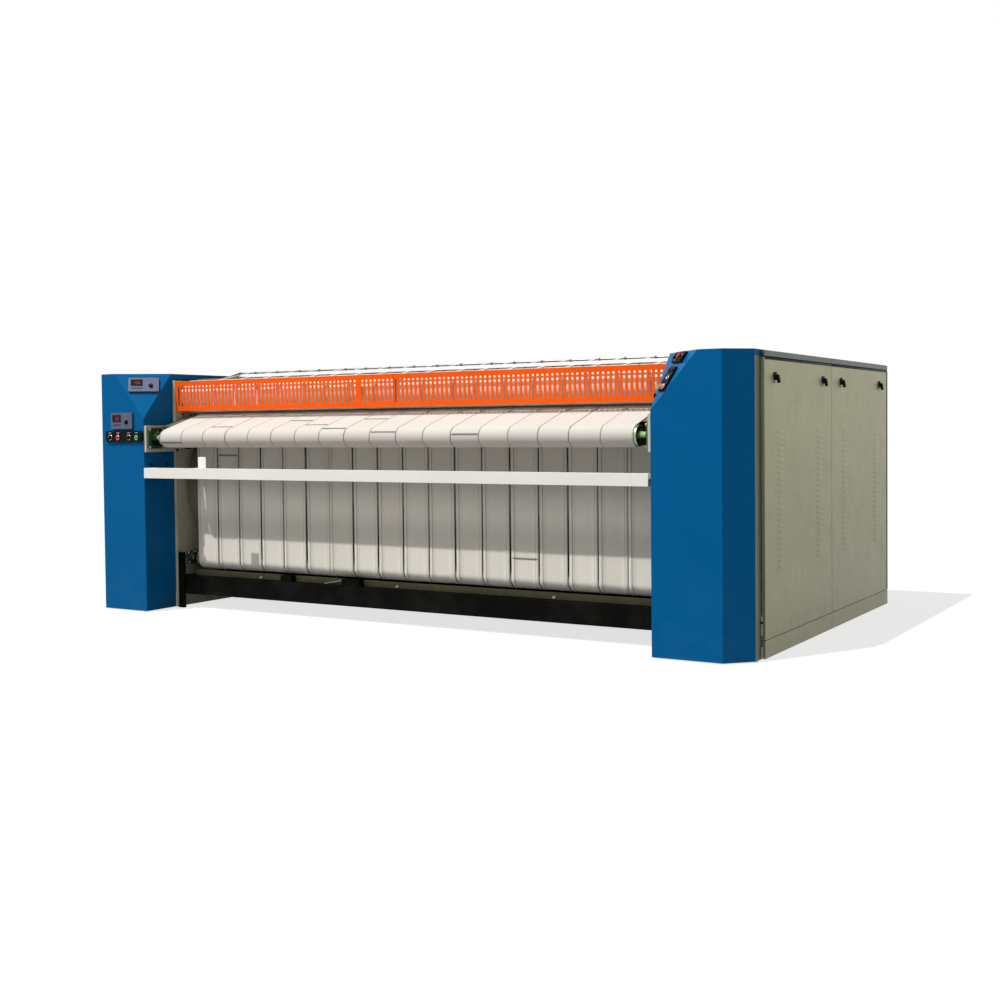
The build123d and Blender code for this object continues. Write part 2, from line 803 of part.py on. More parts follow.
with BuildPart() as drum_bearings:
    for axis in (drum_1_axis, drum_2_axis):
        for side in sides:
            with BuildSketch(Plane.YZ.offset(side * inner_x)):
                with Locations(axis):
                    RectangleRounded(drum_flange_size, drum_flange_size, flange_corner)
            extrude(amount=side * drum_flange_thick)
            hub_face = side * (inner_x + drum_hub_length)
            ends = (min(hub_face, side * inner_x), max(hub_face, side * inner_x))
            bar_along_x(*ends, axis, drum_hub_radius)
            bar_along_x(*ends, axis, journal_radius + running_fit, mode=Mode.SUBTRACT)
write(drum_bearings, "drum_bearings")

with BuildPart() as fasteners:
    for axis, size, face, side in bearing_list():
        reach = size - 2 * bolt_margin
        with BuildSketch(Plane.YZ.offset(side * (face - flange_thick))):
            with Locations(axis):
                with GridLocations(reach, reach, 2, 2):
                    RegularPolygon(bolt_head_radius, 6)
        extrude(amount=-side * bolt_head_high)
    for axis in (drum_1_axis, drum_2_axis):
        for side in sides:
            reach = drum_flange_size - 2 * drum_bolt_margin
            with BuildSketch(Plane.YZ.offset(side * (inner_x + drum_flange_thick))):
                with Locations(axis):
                    with GridLocations(reach, reach, 2, 2):
                        RegularPolygon(bolt_head_radius, 6)
            extrude(amount=side * bolt_head_high)
    with BuildSketch(Plane.XZ.offset(-at(beam_back))):
        with Locations((pan_bolt_middle, pan_bolt_high)):
            with GridLocations(pan_bolt_pitch, 1, 3, 1):
                Circle(bolt_head_radius)
    extrude(amount=bolt_head_high)
write(fasteners, "fasteners")

# ---------------------------------------------------------------- feed bed and belts
feed_plane = Plane(origin=(0, nose_axis[0], nose_axis[1]), x_dir=(0, feed_cos, feed_sin),
                   z_dir=(1, 0, 0))
with BuildPart() as feed_bed:
    bed_half = inner_x - feed_plate_thick
    bed_top = feed_roller_radius + belt_clear - feed_bed_clear
    bed_mid, bed_long = span(feed_bed_margin, feed_length - feed_bed_margin)
    with BuildSketch(feed_plane.offset(-bed_half)):
        with Locations((bed_mid, bed_top - feed_bed_sheet / 2)):
            Rectangle(bed_long, feed_bed_sheet)
    extrude(amount=2 * bed_half)
    for side in sides:
        block(side * (inner_x - wall_flange - bed_wall_gap), side * inner_x,
              at(cabinet_inner_deep) - bed_wall_gap, at(rear_post_back), feed_plate_ends[side][0], wall_high,
              mode=Mode.SUBTRACT)
write(feed_bed, "feed_bed")

with BuildPart() as feed_belts:
    wheels = [(*nose_axis, feed_roller_radius, 1), (*feed_axis, feed_roller_radius, 1)]
    belt_wide = feed_belt_pitch - feed_belt_joint
    for index in range(feed_belt_count):
        middle = feed_belt_middle + (index - (feed_belt_count - 1) / 2) * feed_belt_pitch
        with BuildSketch(Plane.YZ.offset(middle - belt_wide / 2)):
            belt_ring(wheels, belt_clear, feed_belt_thick)
        extrude(amount=belt_wide)
write(feed_belts, "feed_belts")

# The belts hug the drums from outside, so their inner and outer lines swap there.
drum_wrap_radius = drum_radius + 2 * belt_clear + iron_belt_thick
iron_wheels = [(*lower_axis, lower_roller_radius, 1), (*rear_axis, lower_roller_radius, 1),
               (*drum_2_axis, drum_wrap_radius, -1), (*mid_axis, lower_roller_radius, 1),
               (*drum_1_axis, drum_wrap_radius, -1), (*upper_axis, upper_roller_radius, 1)]


def ironing_belts(label, front_run):
    """The canvas belts: either their upright front run or the rest of their loop."""
    belt_wide = iron_belt_pitch - iron_belt_joint
    run_mid, run_high = span(lower_roller_high, upper_roller_high)
    with BuildPart() as belts:
        for index in range(iron_belt_count):
            middle = iron_belt_middle + (index - (iron_belt_count - 1) / 2) * iron_belt_pitch
            with BuildSketch(Plane.YZ.offset(middle - belt_wide / 2)):
                belt_ring(iron_wheels, belt_clear, iron_belt_thick)
                with Locations((at(iron_belt_front) + iron_belt_thick / 2, run_mid)):
                    Rectangle(2 * iron_belt_thick, run_high,
                              mode=Mode.INTERSECT if front_run else Mode.SUBTRACT)
            extrude(amount=belt_wide)
    write(belts, label)


ironing_belts("ironing_belt_fronts", True)
ironing_belts("ironing_belt_loops", False)


# ---------------------------------------------------------------- drive
def sprocket_wheel(axis, radius, teeth):
    """A disc with round tooth gaps cut into its rim."""
    low = sprocket_middle - sprocket_thick / 2
    bar_along_x(low, low + sprocket_thick, axis, radius)
    with BuildSketch(Plane.YZ.offset(low)) as gaps:
        with Locations(axis):
            with PolarLocations(radius, teeth):
                Circle(tooth_share * pi * radius / teeth)
    extrude(gaps.sketch, amount=sprocket_thick, mode=Mode.SUBTRACT)


def drum_sprocket(label, axis):
    """A toothed wheel keyed on a drum's journal."""
    low = sprocket_middle - sprocket_thick / 2
    with BuildPart() as wheel:
        sprocket_wheel(axis, drum_sprocket_radius, drum_teeth)
        bar_along_x(low, low + sprocket_thick, axis, journal_radius, mode=Mode.SUBTRACT)
    write(wheel, label)


motor_teeth = round(drum_teeth * motor_sprocket_radius / drum_sprocket_radius)
drum_sprocket("drum_1_sprocket", drum_1_axis)
drum_sprocket("drum_2_sprocket", drum_2_axis)

gearbox_face = sprocket_middle + sprocket_thick
with BuildPart() as motor_sprocket:
    sprocket_wheel(motor_axis, motor_sprocket_radius, motor_teeth)
    bar_along_x(sprocket_middle, gearbox_face + hub_length, motor_axis, motor_shaft_radius)
write(motor_sprocket, "motor_sprocket")

with BuildPart() as drive_motor:
    gearbox_low = motor_high - gearbox_size / 2
    block(gearbox_face, gearbox_face + gearbox_wide, motor_axis[0] - gearbox_size / 2,
          motor_axis[0] + gearbox_size / 2, gearbox_low, motor_high + gearbox_size / 2)
    motor_start = motor_axis[0] + gearbox_size / 2
    motor_x = gearbox_face + gearbox_wide / 2
    with BuildSketch(Plane.XZ.offset(-motor_start)):
        with Locations((motor_x, motor_high)):
            Circle(motor_radius - motor_fin_high)
            with PolarLocations(motor_radius - motor_fin_high, motor_fin_count):
                Rectangle(2 * motor_fin_high, motor_fin_thick)
    extrude(amount=-motor_length)
    bar_along_x(gearbox_face, gearbox_face + hub_length + shaft_end_gap, motor_axis,
                motor_shaft_radius + running_fit, mode=Mode.SUBTRACT)
    block(inner_x, gearbox_face + gearbox_wide, motor_axis[0] - gearbox_size / 2,
          motor_axis[0] + gearbox_size / 2, gearbox_low - tube, gearbox_low)
write(drive_motor, "drive_motor")

with BuildPart() as drive_chain:
    chain_wheels = [(*motor_axis, motor_sprocket_radius, 1), (*drum_2_axis, drum_sprocket_radius, 1),
                    (*drum_1_axis, drum_sprocket_radius, 1)]
    with BuildSketch(Plane.YZ.offset(sprocket_middle - chain_width / 2)):
        belt_ring(chain_wheels, chain_clear, chain_thick)
    extrude(amount=chain_width)
write(drive_chain, "drive_chain")


# ---------------------------------------------------------------- guard
def guard_half_panel(label, x_low, x_high, slots):
    """One half of the slotted finger guard, with end flanges and ears on the front tape rod."""
    plate_front = at(guard_front)
    plate_back = plate_front + guard_sheet
    slot_mid, slot_tall = span(slot_low, slot_high)
    with BuildPart() as panel:
        block(x_low, x_high, plate_front, plate_back, guard_low, guard_high)
        with BuildSketch(Plane.XZ.offset(-plate_back - guard_sheet)):
            with Locations(*[(x, slot_mid) for x in slots]):
                SlotOverall(slot_tall, slot_width, rotation=90)
        extrude(amount=3 * guard_sheet, mode=Mode.SUBTRACT)
        for flange_low in (x_low, x_high - guard_sheet):
            flange_high = flange_low + guard_sheet
            block(flange_low, flange_high, plate_back, plate_front + guard_flange,
                  guard_low, guard_high)
            block(flange_low, flange_high, plate_back, plate_front + guard_ear,
                  guard_high - guard_ear_high, guard_high)
        bar_along_x(x_low - guard_sheet, x_high + guard_sheet, front_rod_axis,
                    rod_radius + running_fit, mode=Mode.SUBTRACT)
    write(panel, label)


def slot_centres(start, step, low, high):
    """Centres from a first slot, step by step, while a whole slot fits between two ends."""
    centres = []
    place = start
    while low + slot_width <= place <= high - slot_width:
        centres.append(place)
        place += step
    return centres


left_end = guard_split - guard_joint / 2
right_start = guard_split + guard_joint / 2
first_left = guard_land - guard_land_half
left_slots = slot_centres(first_left, -slot_pitch, -guard_half, left_end)
left_slots += slot_centres(guard_land + guard_land_half, slot_pitch, -guard_half, left_end)
right_slots = slot_centres(right_start + slot_width, slot_pitch, right_start, guard_half)
guard_half_panel("guard_left", -guard_half, left_end, left_slots)
guard_half_panel("guard_right", right_start, guard_half, right_slots)

# ---------------------------------------------------------------- guide tapes, rods and arms
with BuildPart() as tape_rods:
    bar_along_x(-wall_x, wall_x, front_rod_axis, rod_radius)
    bar_along_x(-wall_x, wall_x, lower_rod_axis, rod_radius)
    bar_along_x(*rear_rod_ends, rear_rod_axis, rod_radius)
write(tape_rods, "tape_rods")

with BuildPart() as tape_tube:
    bar_along_x(-wall_x, wall_x, tape_tube_axis, tape_tube_radius)
    bar_along_x(-wall_x, wall_x, tape_tube_axis, tape_tube_radius - tape_tube_wall,
                mode=Mode.SUBTRACT)
write(tape_tube, "tape_tube")

with BuildPart() as small_brackets:
    for side, rod_end in zip(sides, rear_rod_ends):
        with BuildSketch(Plane.YZ.offset(rod_end - side * tape_arm_inset)):
            with Locations(tape_tube_axis):
                Circle(tape_tube_radius + 2 * tape_tube_wall)
            with Locations(rear_rod_axis):
                Circle(rod_radius + tape_tube_wall)
            make_hull()
            with Locations(tape_tube_axis):
                Circle(tape_tube_radius + tape_arm_clear, mode=Mode.SUBTRACT)
            with Locations(rear_rod_axis):
                Circle(rod_radius + tape_arm_clear, mode=Mode.SUBTRACT)
        extrude(amount=-side * tape_arm_thick)
        # bracket that carries one end of the stop bar
        bracket_front = at(bar_front) + bar_deep + bar_travel + bar_bracket_spare
        block(side * (inner_x - 2 * bar_pin_inset), side * inner_x, bracket_front,
              bracket_front + bar_bracket_thick, bar_low, bar_high)
        block(side * (inner_x - bar_bracket_thick), side * inner_x, bracket_front,
              bracket_front + bar_bracket_deep, bar_low, bar_high)
        with BuildSketch(Plane.XZ.offset(-bracket_front)):
            with Locations((side * (inner_x - bar_pin_inset), (bar_low + bar_high) / 2)):
                Circle(bar_pin_radius + running_fit)
        extrude(amount=-bar_bracket_thick, mode=Mode.SUBTRACT)
write(small_brackets, "small_brackets")

with BuildPart() as guide_tapes:
    face_y = front_rod_axis[0] - rod_radius - tape_clear
    rise = (rear_rod_high - front_rod_high) / (rear_rod_depth - front_rod_depth)
    inner_z = front_rod_high + rod_radius + 2 * tape_clear
    end_y = rear_rod_axis[0]
    end_z = inner_z + rise * (end_y - face_y)
    outline = [(face_y - tape_thick, lower_rod_high), (face_y, lower_rod_high), (face_y, inner_z),
               (end_y, end_z), (end_y, end_z + tape_thick), (face_y - tape_thick, inner_z + tape_thick)]
    for index in range(tape_count):
        middle = tape_middle + (index - (tape_count - 1) / 2) * tape_pitch
        with BuildSketch(Plane.YZ.offset(middle - tape_width / 2)):
            with BuildLine():
                Polyline(*outline, close=True)
            make_face()
        extrude(amount=tape_width)
write(guide_tapes, "guide_tapes")

# ---------------------------------------------------------------- stop bar
with BuildPart() as stop_bar:
    bar_y = at(bar_front)
    block(-wall_x, wall_x, bar_y, bar_y + bar_deep, bar_low, bar_high)
    block(-wall_x, wall_x, bar_y + bar_sheet, bar_y + bar_deep, bar_low + bar_sheet,
          bar_high - bar_sheet, mode=Mode.SUBTRACT)
    for side in sides:
        with BuildSketch(Plane.XZ.offset(-(bar_y + bar_sheet))):
            with Locations((side * (inner_x - bar_pin_inset), (bar_low + bar_high) / 2)):
                Circle(bar_pin_radius)
        extrude(amount=-bar_pin_length)
write(stop_bar, "stop_bar")

# ---------------------------------------------------------------- exhaust and steam
with BuildPart() as exhaust_duct:
    duct_start = back_y + exhaust_reach - exhaust_length
    with BuildSketch(Plane.XZ.offset(-duct_start)):
        with Locations((exhaust_x, exhaust_high)):
            Circle(exhaust_radius)
    extrude(amount=-exhaust_length)
    block(exhaust_x - exhaust_box / 2, exhaust_x + exhaust_box / 2, duct_start - exhaust_box, duct_start,
          exhaust_high - exhaust_box / 2, exhaust_high + exhaust_box / 2)
    block(exhaust_x + exhaust_box / 2, -inner_x, duct_start - exhaust_box, duct_start,
          exhaust_high - exhaust_radius, exhaust_high + exhaust_radius)
    with BuildSketch(Plane.XZ.offset(-duct_start + sheet)):
        with Locations((exhaust_x, exhaust_high)):
            Circle(exhaust_radius - exhaust_wall)
    extrude(amount=-exhaust_length - sheet, mode=Mode.SUBTRACT)
    block(exhaust_x - exhaust_box / 2 + sheet, exhaust_x + exhaust_box / 2 - sheet,
          duct_start - exhaust_box + sheet, duct_start - sheet,
          exhaust_high - exhaust_box / 2 + sheet, exhaust_high + exhaust_box / 2 - sheet,
          mode=Mode.SUBTRACT)
    block(exhaust_x, -inner_x + sheet, duct_start - exhaust_box + sheet, duct_start - sheet,
          exhaust_high - exhaust_radius + sheet, exhaust_high + exhaust_radius - sheet,
          mode=Mode.SUBTRACT)
write(exhaust_duct, "exhaust_duct")

with BuildPart() as steam_manifold:
    bar_along_x(-side_reach_x, steam_x, (at(steam_depth), drum_high), steam_outer)
    with BuildSketch(Plane.XZ.offset(-(drum_1_axis[0]))):
        with Locations((steam_x, drum_high)):
            Circle(header_radius)
    extrude(amount=-(drum_2_axis[0] - drum_1_axis[0]))
    for axis in (drum_1_axis, drum_2_axis):
        bar_along_x(steam_x - rotary_radius, -journal_end - shaft_end_gap, axis, rotary_radius)
    bar_along_x(-side_reach_x, steam_x - rotary_radius, (at(steam_depth), drum_high), steam_inner,
                mode=Mode.SUBTRACT)
write(steam_manifold, "steam_manifold")

# ---------------------------------------------------------------- meters on the left cabinet
meter_plane = facet_plane(-1, meter_centre, meter_high)
controller_plane = front_plane(controller_x, controller_high)
case_planes = {"meter": meter_plane, "controller": controller_plane}

with BuildPart() as meter_cases:
    for plane in case_planes.values():
        with BuildSketch(plane):
            RectangleRounded(case_width, case_height, case_corner)
        extrude(amount=case_proud)
        with BuildSketch(plane.offset(case_proud - window_deep)):
            with Locations(window_shift):
                Rectangle(window_width, window_height)
        extrude(amount=2 * window_deep, mode=Mode.SUBTRACT)
        with BuildSketch(plane.offset(case_proud - spindle_length - shaft_end_gap)):
            with Locations(knob_shift):
                Circle(spindle_radius + running_fit)
        extrude(amount=2 * spindle_length, mode=Mode.SUBTRACT)
write(meter_cases, "meter_cases")

with BuildPart() as display_windows:
    for plane in case_planes.values():
        with BuildSketch(plane.offset(case_proud - window_deep)):
            with Locations(window_shift):
                Rectangle(window_width - 2 * window_clear, window_height - 2 * window_clear)
        extrude(amount=window_deep)
write(display_windows, "display_windows")


def turning_knob(label, plane, shift, proud, radius, high):
    """A knob with a grip rib and a spindle in the plate behind it."""
    with BuildPart() as knob:
        with BuildSketch(plane.offset(proud + knob_gap)):
            with Locations(shift):
                Circle(radius)
        extrude(amount=high / 2)
        with BuildSketch(plane.offset(proud + knob_gap + high / 2)):
            with Locations(shift):
                SlotOverall(grip_share * 2 * radius, grip_width_share * radius, rotation=90)
        extrude(amount=high / 2)
        with BuildSketch(plane.offset(proud - spindle_length)):
            with Locations(shift):
                Circle(spindle_radius)
        extrude(amount=spindle_length + knob_gap)
    write(knob, label)


case_knob_high = front_reach - case_proud - knob_gap
turning_knob("meter_knob", meter_plane, knob_shift, case_proud, knob_radius, case_knob_high)
turning_knob("controller_knob", controller_plane, knob_shift, case_proud, knob_radius, case_knob_high)

# ---------------------------------------------------------------- control plates, selectors, buttons
left_plane = front_plane(left_plate_x, left_plate_high)
upper_plane = facet_plane(1, upper_plate_centre, upper_plate_high)
lower_plane = facet_plane(1, lower_plate_centre, lower_plate_high)
selector_holes = [(left_plane, (left_selector_a, left_row)), (left_plane, (left_selector_b, left_row)),
                  (upper_plane, upper_selector_shift)]
button_holes = [(left_plane, (left_button_red, left_row), button_radius),
                (left_plane, (left_button_green, left_row), button_radius),
                (upper_plane, upper_mushroom_shift, mushroom_stem),
                (lower_plane, lower_button_shift, button_radius)]

with BuildPart() as control_plates:
    for plane, size, corner in ((left_plane, left_plate_size, plate_corner),
                                (upper_plane, upper_plate_size, case_corner),
                                (lower_plane, lower_plate_size, case_corner)):
        with BuildSketch(plane):
            RectangleRounded(*size, corner)
            for hole_plane, shift, radius in button_holes:
                if hole_plane is plane:
                    with Locations(shift):
                        Circle(radius + button_fit, mode=Mode.SUBTRACT)
            for hole_plane, shift in selector_holes:
                if hole_plane is plane:
                    with Locations(shift):
                        Circle(spindle_radius + running_fit, mode=Mode.SUBTRACT)
        extrude(amount=plate_thick)
    for plane, shift, radius in button_holes:
        with BuildSketch(plane.offset(plate_thick)):
            with Locations(shift):
                Circle(radius + bezel_radius - button_radius)
                Circle(radius + button_fit, mode=Mode.SUBTRACT)
        extrude(amount=bezel_high)
write(control_plates, "control_plates")

selector_names = ("left_selector_a", "left_selector_b", "right_selector")
for selector_name, (plane, shift) in zip(selector_names, selector_holes):
    turning_knob(selector_name, plane, shift, plate_thick, selector_radius,
                 min(selector_high, front_reach - plate_thick - knob_gap))


def push_button(label, plane, shift):
    """A flat push button that stands in its ring."""
    button_base = button_travel + button_spare
    with BuildPart() as cap:
        with BuildSketch(plane.offset(button_base)):
            with Locations(shift):
                Circle(button_radius)
        extrude(amount=button_top - button_base)
    write(cap, label)


push_button("stop_button", left_plane, (left_button_red, left_row))
push_button("start_button", left_plane, (left_button_green, left_row))
push_button("reset_button", lower_plane, lower_button_shift)

with BuildPart() as emergency_button:
    with BuildSketch(upper_plane.offset(mushroom_base)):
        with Locations(upper_mushroom_shift):
            Circle(mushroom_stem)
    extrude(amount=mushroom_low - mushroom_base)
    with BuildSketch(upper_plane.offset(mushroom_low)):
        with Locations(upper_mushroom_shift):
            Circle(mushroom_radius)
    extrude(amount=mushroom_high - mushroom_low)
write(emergency_button, "emergency_button")
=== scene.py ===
import json
import math
import random
import bmesh
import bpy
from mathutils import Matrix, Vector

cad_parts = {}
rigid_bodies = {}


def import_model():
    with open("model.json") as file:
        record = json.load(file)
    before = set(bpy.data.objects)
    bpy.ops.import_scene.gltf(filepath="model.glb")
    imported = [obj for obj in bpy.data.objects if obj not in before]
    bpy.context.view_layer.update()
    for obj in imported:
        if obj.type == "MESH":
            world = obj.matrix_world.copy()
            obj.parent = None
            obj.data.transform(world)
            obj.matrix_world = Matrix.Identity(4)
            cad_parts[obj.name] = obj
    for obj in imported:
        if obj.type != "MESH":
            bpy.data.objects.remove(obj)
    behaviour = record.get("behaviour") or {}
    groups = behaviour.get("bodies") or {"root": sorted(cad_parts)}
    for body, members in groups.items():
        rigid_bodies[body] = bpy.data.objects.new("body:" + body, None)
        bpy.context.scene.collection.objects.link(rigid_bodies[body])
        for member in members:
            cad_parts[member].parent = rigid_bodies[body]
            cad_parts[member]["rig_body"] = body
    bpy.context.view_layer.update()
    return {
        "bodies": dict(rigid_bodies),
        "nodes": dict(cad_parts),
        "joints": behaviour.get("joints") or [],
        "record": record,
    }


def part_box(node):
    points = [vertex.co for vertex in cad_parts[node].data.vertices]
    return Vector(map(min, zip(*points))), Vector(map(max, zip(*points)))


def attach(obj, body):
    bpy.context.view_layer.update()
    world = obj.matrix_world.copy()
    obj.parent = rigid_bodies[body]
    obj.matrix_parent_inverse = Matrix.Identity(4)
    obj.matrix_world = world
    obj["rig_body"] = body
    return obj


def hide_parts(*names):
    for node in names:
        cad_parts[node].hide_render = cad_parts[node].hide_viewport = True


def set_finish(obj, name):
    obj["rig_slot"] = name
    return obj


# Flatwork ironer: looks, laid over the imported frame. Metres; X across, Y backwards, Z up.
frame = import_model()
nodes = frame["nodes"]


# ------------------------------------------------------------------ places, most of them read from the frame
def edge(node, corner, axis):
    """Where a CAD node ends along an axis, at its low corner (0) or its high one (1)."""
    return round(float(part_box(node)[corner][axis]), 6)


def axis_of(node):
    """Y and Z of the middle of a round node that lies across the machine."""
    return tuple((edge(node, 0, axis) + edge(node, 1, axis)) / 2 for axis in (1, 2))


def radius_of(node):
    """The radius of a round node that lies across the machine."""
    return (edge(node, 1, 1) - edge(node, 0, 1)) / 2


def body_of(node):
    """The body that a CAD node rides on."""
    return nodes[node]["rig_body"]


def label_of(node):
    """A node's name as the name of the piece that stands for it."""
    return node.replace("_", "-")


FRONT = edge("cabinet_shells", 0, 1)
INNER = edge("side_frames", 1, 0)
WALL = edge("base_frame", 1, 0)
DOOR_FACE = edge("front_door", 1, 0)


def at(depth):
    """Y of a depth in metres behind the cabinets' front plane."""
    return FRONT + depth


TILT = math.radians(17.2)
NOSE = (at(0.080), 1.090)
FEED = (at(0.4363), 1.090 + 0.3563 * math.tan(TILT))
LOWER, UPPER = axis_of("lower_front_roller"), axis_of("upper_front_roller")
MID, REAR = axis_of("mid_roller"), axis_of("rear_roller")
DRUM_1, DRUM_2 = axis_of("drum_1"), axis_of("drum_2")
PRESS = axis_of("press_roll_cloth")
FEED_ROLLER = radius_of("nose_roller")
IRON_ROLLER = radius_of("lower_front_roller")
SMALL_ROLLER = radius_of("upper_front_roller")
ROD = 0.006
FRONT_ROD = (at(0.283), 1.439)
LOWER_ROD = (at(0.283), 1.272)
REAR_ROD = (at(0.600), 1.505)
BELTS = 18
FEED_WIDTH, FEED_PITCH, FEED_MIDDLE = 0.1762, 0.180, 0.009
IRON_WIDTH, IRON_PITCH, IRON_MIDDLE, IRON_HEM = 0.1697, 0.1797, 0.021, 0.018
chance = random.Random(41)


# ------------------------------------------------------------------ node trees
def feed(tree, socket, value):
    """Links a value to a socket, or sets it there."""
    if isinstance(value, bpy.types.NodeSocket):
        tree.links.new(value, socket)
    else:
        socket.default_value = value


def add_node(tree, kind, inputs=None, **settings):
    """One node with its settings made and its inputs linked or filled in."""
    made = tree.nodes.new(kind)
    for key, value in settings.items():
        setattr(made, key, value)
    for key, value in (inputs or {}).items():
        feed(tree, made.inputs[key], value)
    return made


def maths(tree, operation, a, b=0.0, clamp=False):
    """One sum on one or two values."""
    return add_node(tree, "ShaderNodeMath", {0: a, 1: b}, operation=operation, use_clamp=clamp).outputs[0]


def vector_maths(tree, operation, a, b=(0, 0, 0), scale=None):
    """One sum on one or two vectors, or a vector scaled."""
    inputs = {0: a, 1: b} if scale is None else {0: a, "Scale": scale}
    return add_node(tree, "ShaderNodeVectorMath", inputs, operation=operation).outputs["Vector"]


def band(tree, value, low, high, out_low=0.0, out_high=1.0):
    """Value spread from one range to another, held at its ends."""
    return add_node(tree, "ShaderNodeMapRange", {0: value, 1: low, 2: high, 3: out_low, 4: out_high},
                    interpolation_type="SMOOTHSTEP").outputs[0]


def blend_colour(tree, factor, a, b):
    """From colour a to colour b by a factor; each is a socket or three linear values."""
    made = add_node(tree, "ShaderNodeMix", {0: factor}, data_type="RGBA")
    for index, value in ((6, a), (7, b)):
        feed(tree, made.inputs[index], value if isinstance(value, bpy.types.NodeSocket) else (*value, 1))
    return made.outputs[2]


def noise(tree, where, scale, detail=3.0, rough=0.5):
    """Noise on a place, from 0 to 1."""
    return add_node(tree, "ShaderNodeTexNoise", {"Vector": where, "Scale": scale, "Detail": detail,
                                                  "Roughness": rough}).outputs["Fac"]


def stretched(tree, where, scale):
    """A place scaled along each axis, so that a pattern on it is drawn out."""
    return add_node(tree, "ShaderNodeMapping", {"Vector": where, "Scale": scale}).outputs[0]


def bumped(tree, shader, height, strength, reach):
    """Fine relief on a surface, reach metres deep at most."""
    made = add_node(tree, "ShaderNodeBump", {"Height": height, "Strength": strength, "Distance": reach})
    tree.links.new(made.outputs[0], shader.inputs["Normal"])


def plain(r, g, b):
    """A colour as it looks on a screen, 0 to 255, turned into the renderer's linear one."""
    return tuple((v / 255 / 12.92) if v <= 10 else ((v / 255 + 0.055) / 1.055) ** 2.4 for v in (r, g, b))


def darker(colour, share):
    """A linear colour times a share; above 1 it is lighter."""
    return tuple(v * share for v in colour)


finishes = {}


def finish_named(name):
    """A new finish, kept under its name: its tree, its surface shader and the place on the piece."""
    made = finishes[name] = bpy.data.materials.new(name)
    made.use_nodes = True
    tree = made.node_tree
    shader = next(n for n in tree.nodes if n.type == "BSDF_PRINCIPLED")
    return tree, shader, add_node(tree, "ShaderNodeTexCoord").outputs["Object"]


def link_in(tree, shader, **sockets):
    """Links values to the shader's sockets of those names."""
    for key, value in sockets.items():
        tree.links.new(value, shader.inputs[key.replace("_", " ")])


def cloudy(tree, tone, colour, share):
    """A colour a share darker to a share lighter, by a tone."""
    shades = darker(colour, 1 - share), darker(colour, 1 + share)
    return blend_colour(tree, band(tree, tone, 0.3, 0.7), *shades)


def height_of(tree, place):
    """Height above the floor."""
    return add_node(tree, "ShaderNodeSeparateXYZ", {0: place}).outputs["Z"]


def worn_rim(tree, place, base, bare, amount=0.6):
    """Colour with chips where the piece has a rounded edge, marked by the attribute rim."""
    rim = add_node(tree, "ShaderNodeAttribute", attribute_name="rim").outputs["Fac"]
    patches = band(tree, noise(tree, place, 38.0, 4.0, 0.6), 0.52, 0.62, 0.0, amount)
    return blend_colour(tree, maths(tree, "MULTIPLY", rim, patches), base, bare)


# ------------------------------------------------------------------ finishes, in shades as seen on a screen
DUST = (0.42, 0.39, 0.34)
RUST = (0.16, 0.07, 0.03)
SOIL = (0.50, 0.44, 0.35)
STITCH = 0.006


def paint(name, shade, rough, peel=0.05, bare=(0.35, 0.34, 0.33), dusty=0.1, patchy=0.09, soot=0.0,
          shine=0.25):
    """Sprayed paint: cloudy tone, orange peel, fine scuffs, dust low down and chips on its rims."""
    tree, shader, place = finish_named(name)
    colour = plain(*shade)
    cloud = noise(tree, place, 1.7, 2.0)
    mottle = noise(tree, place, 22.0, 4.0, 0.6)
    tone = maths(tree, "ADD", maths(tree, "MULTIPLY", cloud, 0.65), maths(tree, "MULTIPLY", mottle, 0.35))
    base = cloudy(tree, tone, colour, patchy)
    low_down = maths(tree, "MULTIPLY", band(tree, height_of(tree, place), 0.55, 0.0, 0.0, 1.0),
                     band(tree, noise(tree, place, 6.0, 5.0, 0.65), 0.38, 0.72, 0.0, dusty), clamp=True)
    base = blend_colour(tree, low_down, base, DUST)
    if soot:
        grime = band(tree, noise(tree, place, 9.0, 6.0, 0.7), 0.45, 0.75, 0.0, soot)
        base = blend_colour(tree, grime, base, darker(colour, 0.35))
    base = worn_rim(tree, place, base, bare)
    scuffs = noise(tree, stretched(tree, place, (14.0, 60.0, 5.0)), 9.0, 2.0)
    roughness = maths(tree, "ADD", band(tree, scuffs, 0.35, 0.75, rough - 0.05, rough + 0.09),
                      maths(tree, "MULTIPLY", low_down, 0.25))
    link_in(tree, shader, Base_Color=base, Roughness=roughness)
    shader.inputs["Specular IOR Level"].default_value = shine
    orange_peel = noise(tree, place, 420.0, 2.0)
    bumped(tree, shader, maths(tree, "ADD", orange_peel, maths(tree, "MULTIPLY", scuffs, 0.2)), peel, 0.0006)


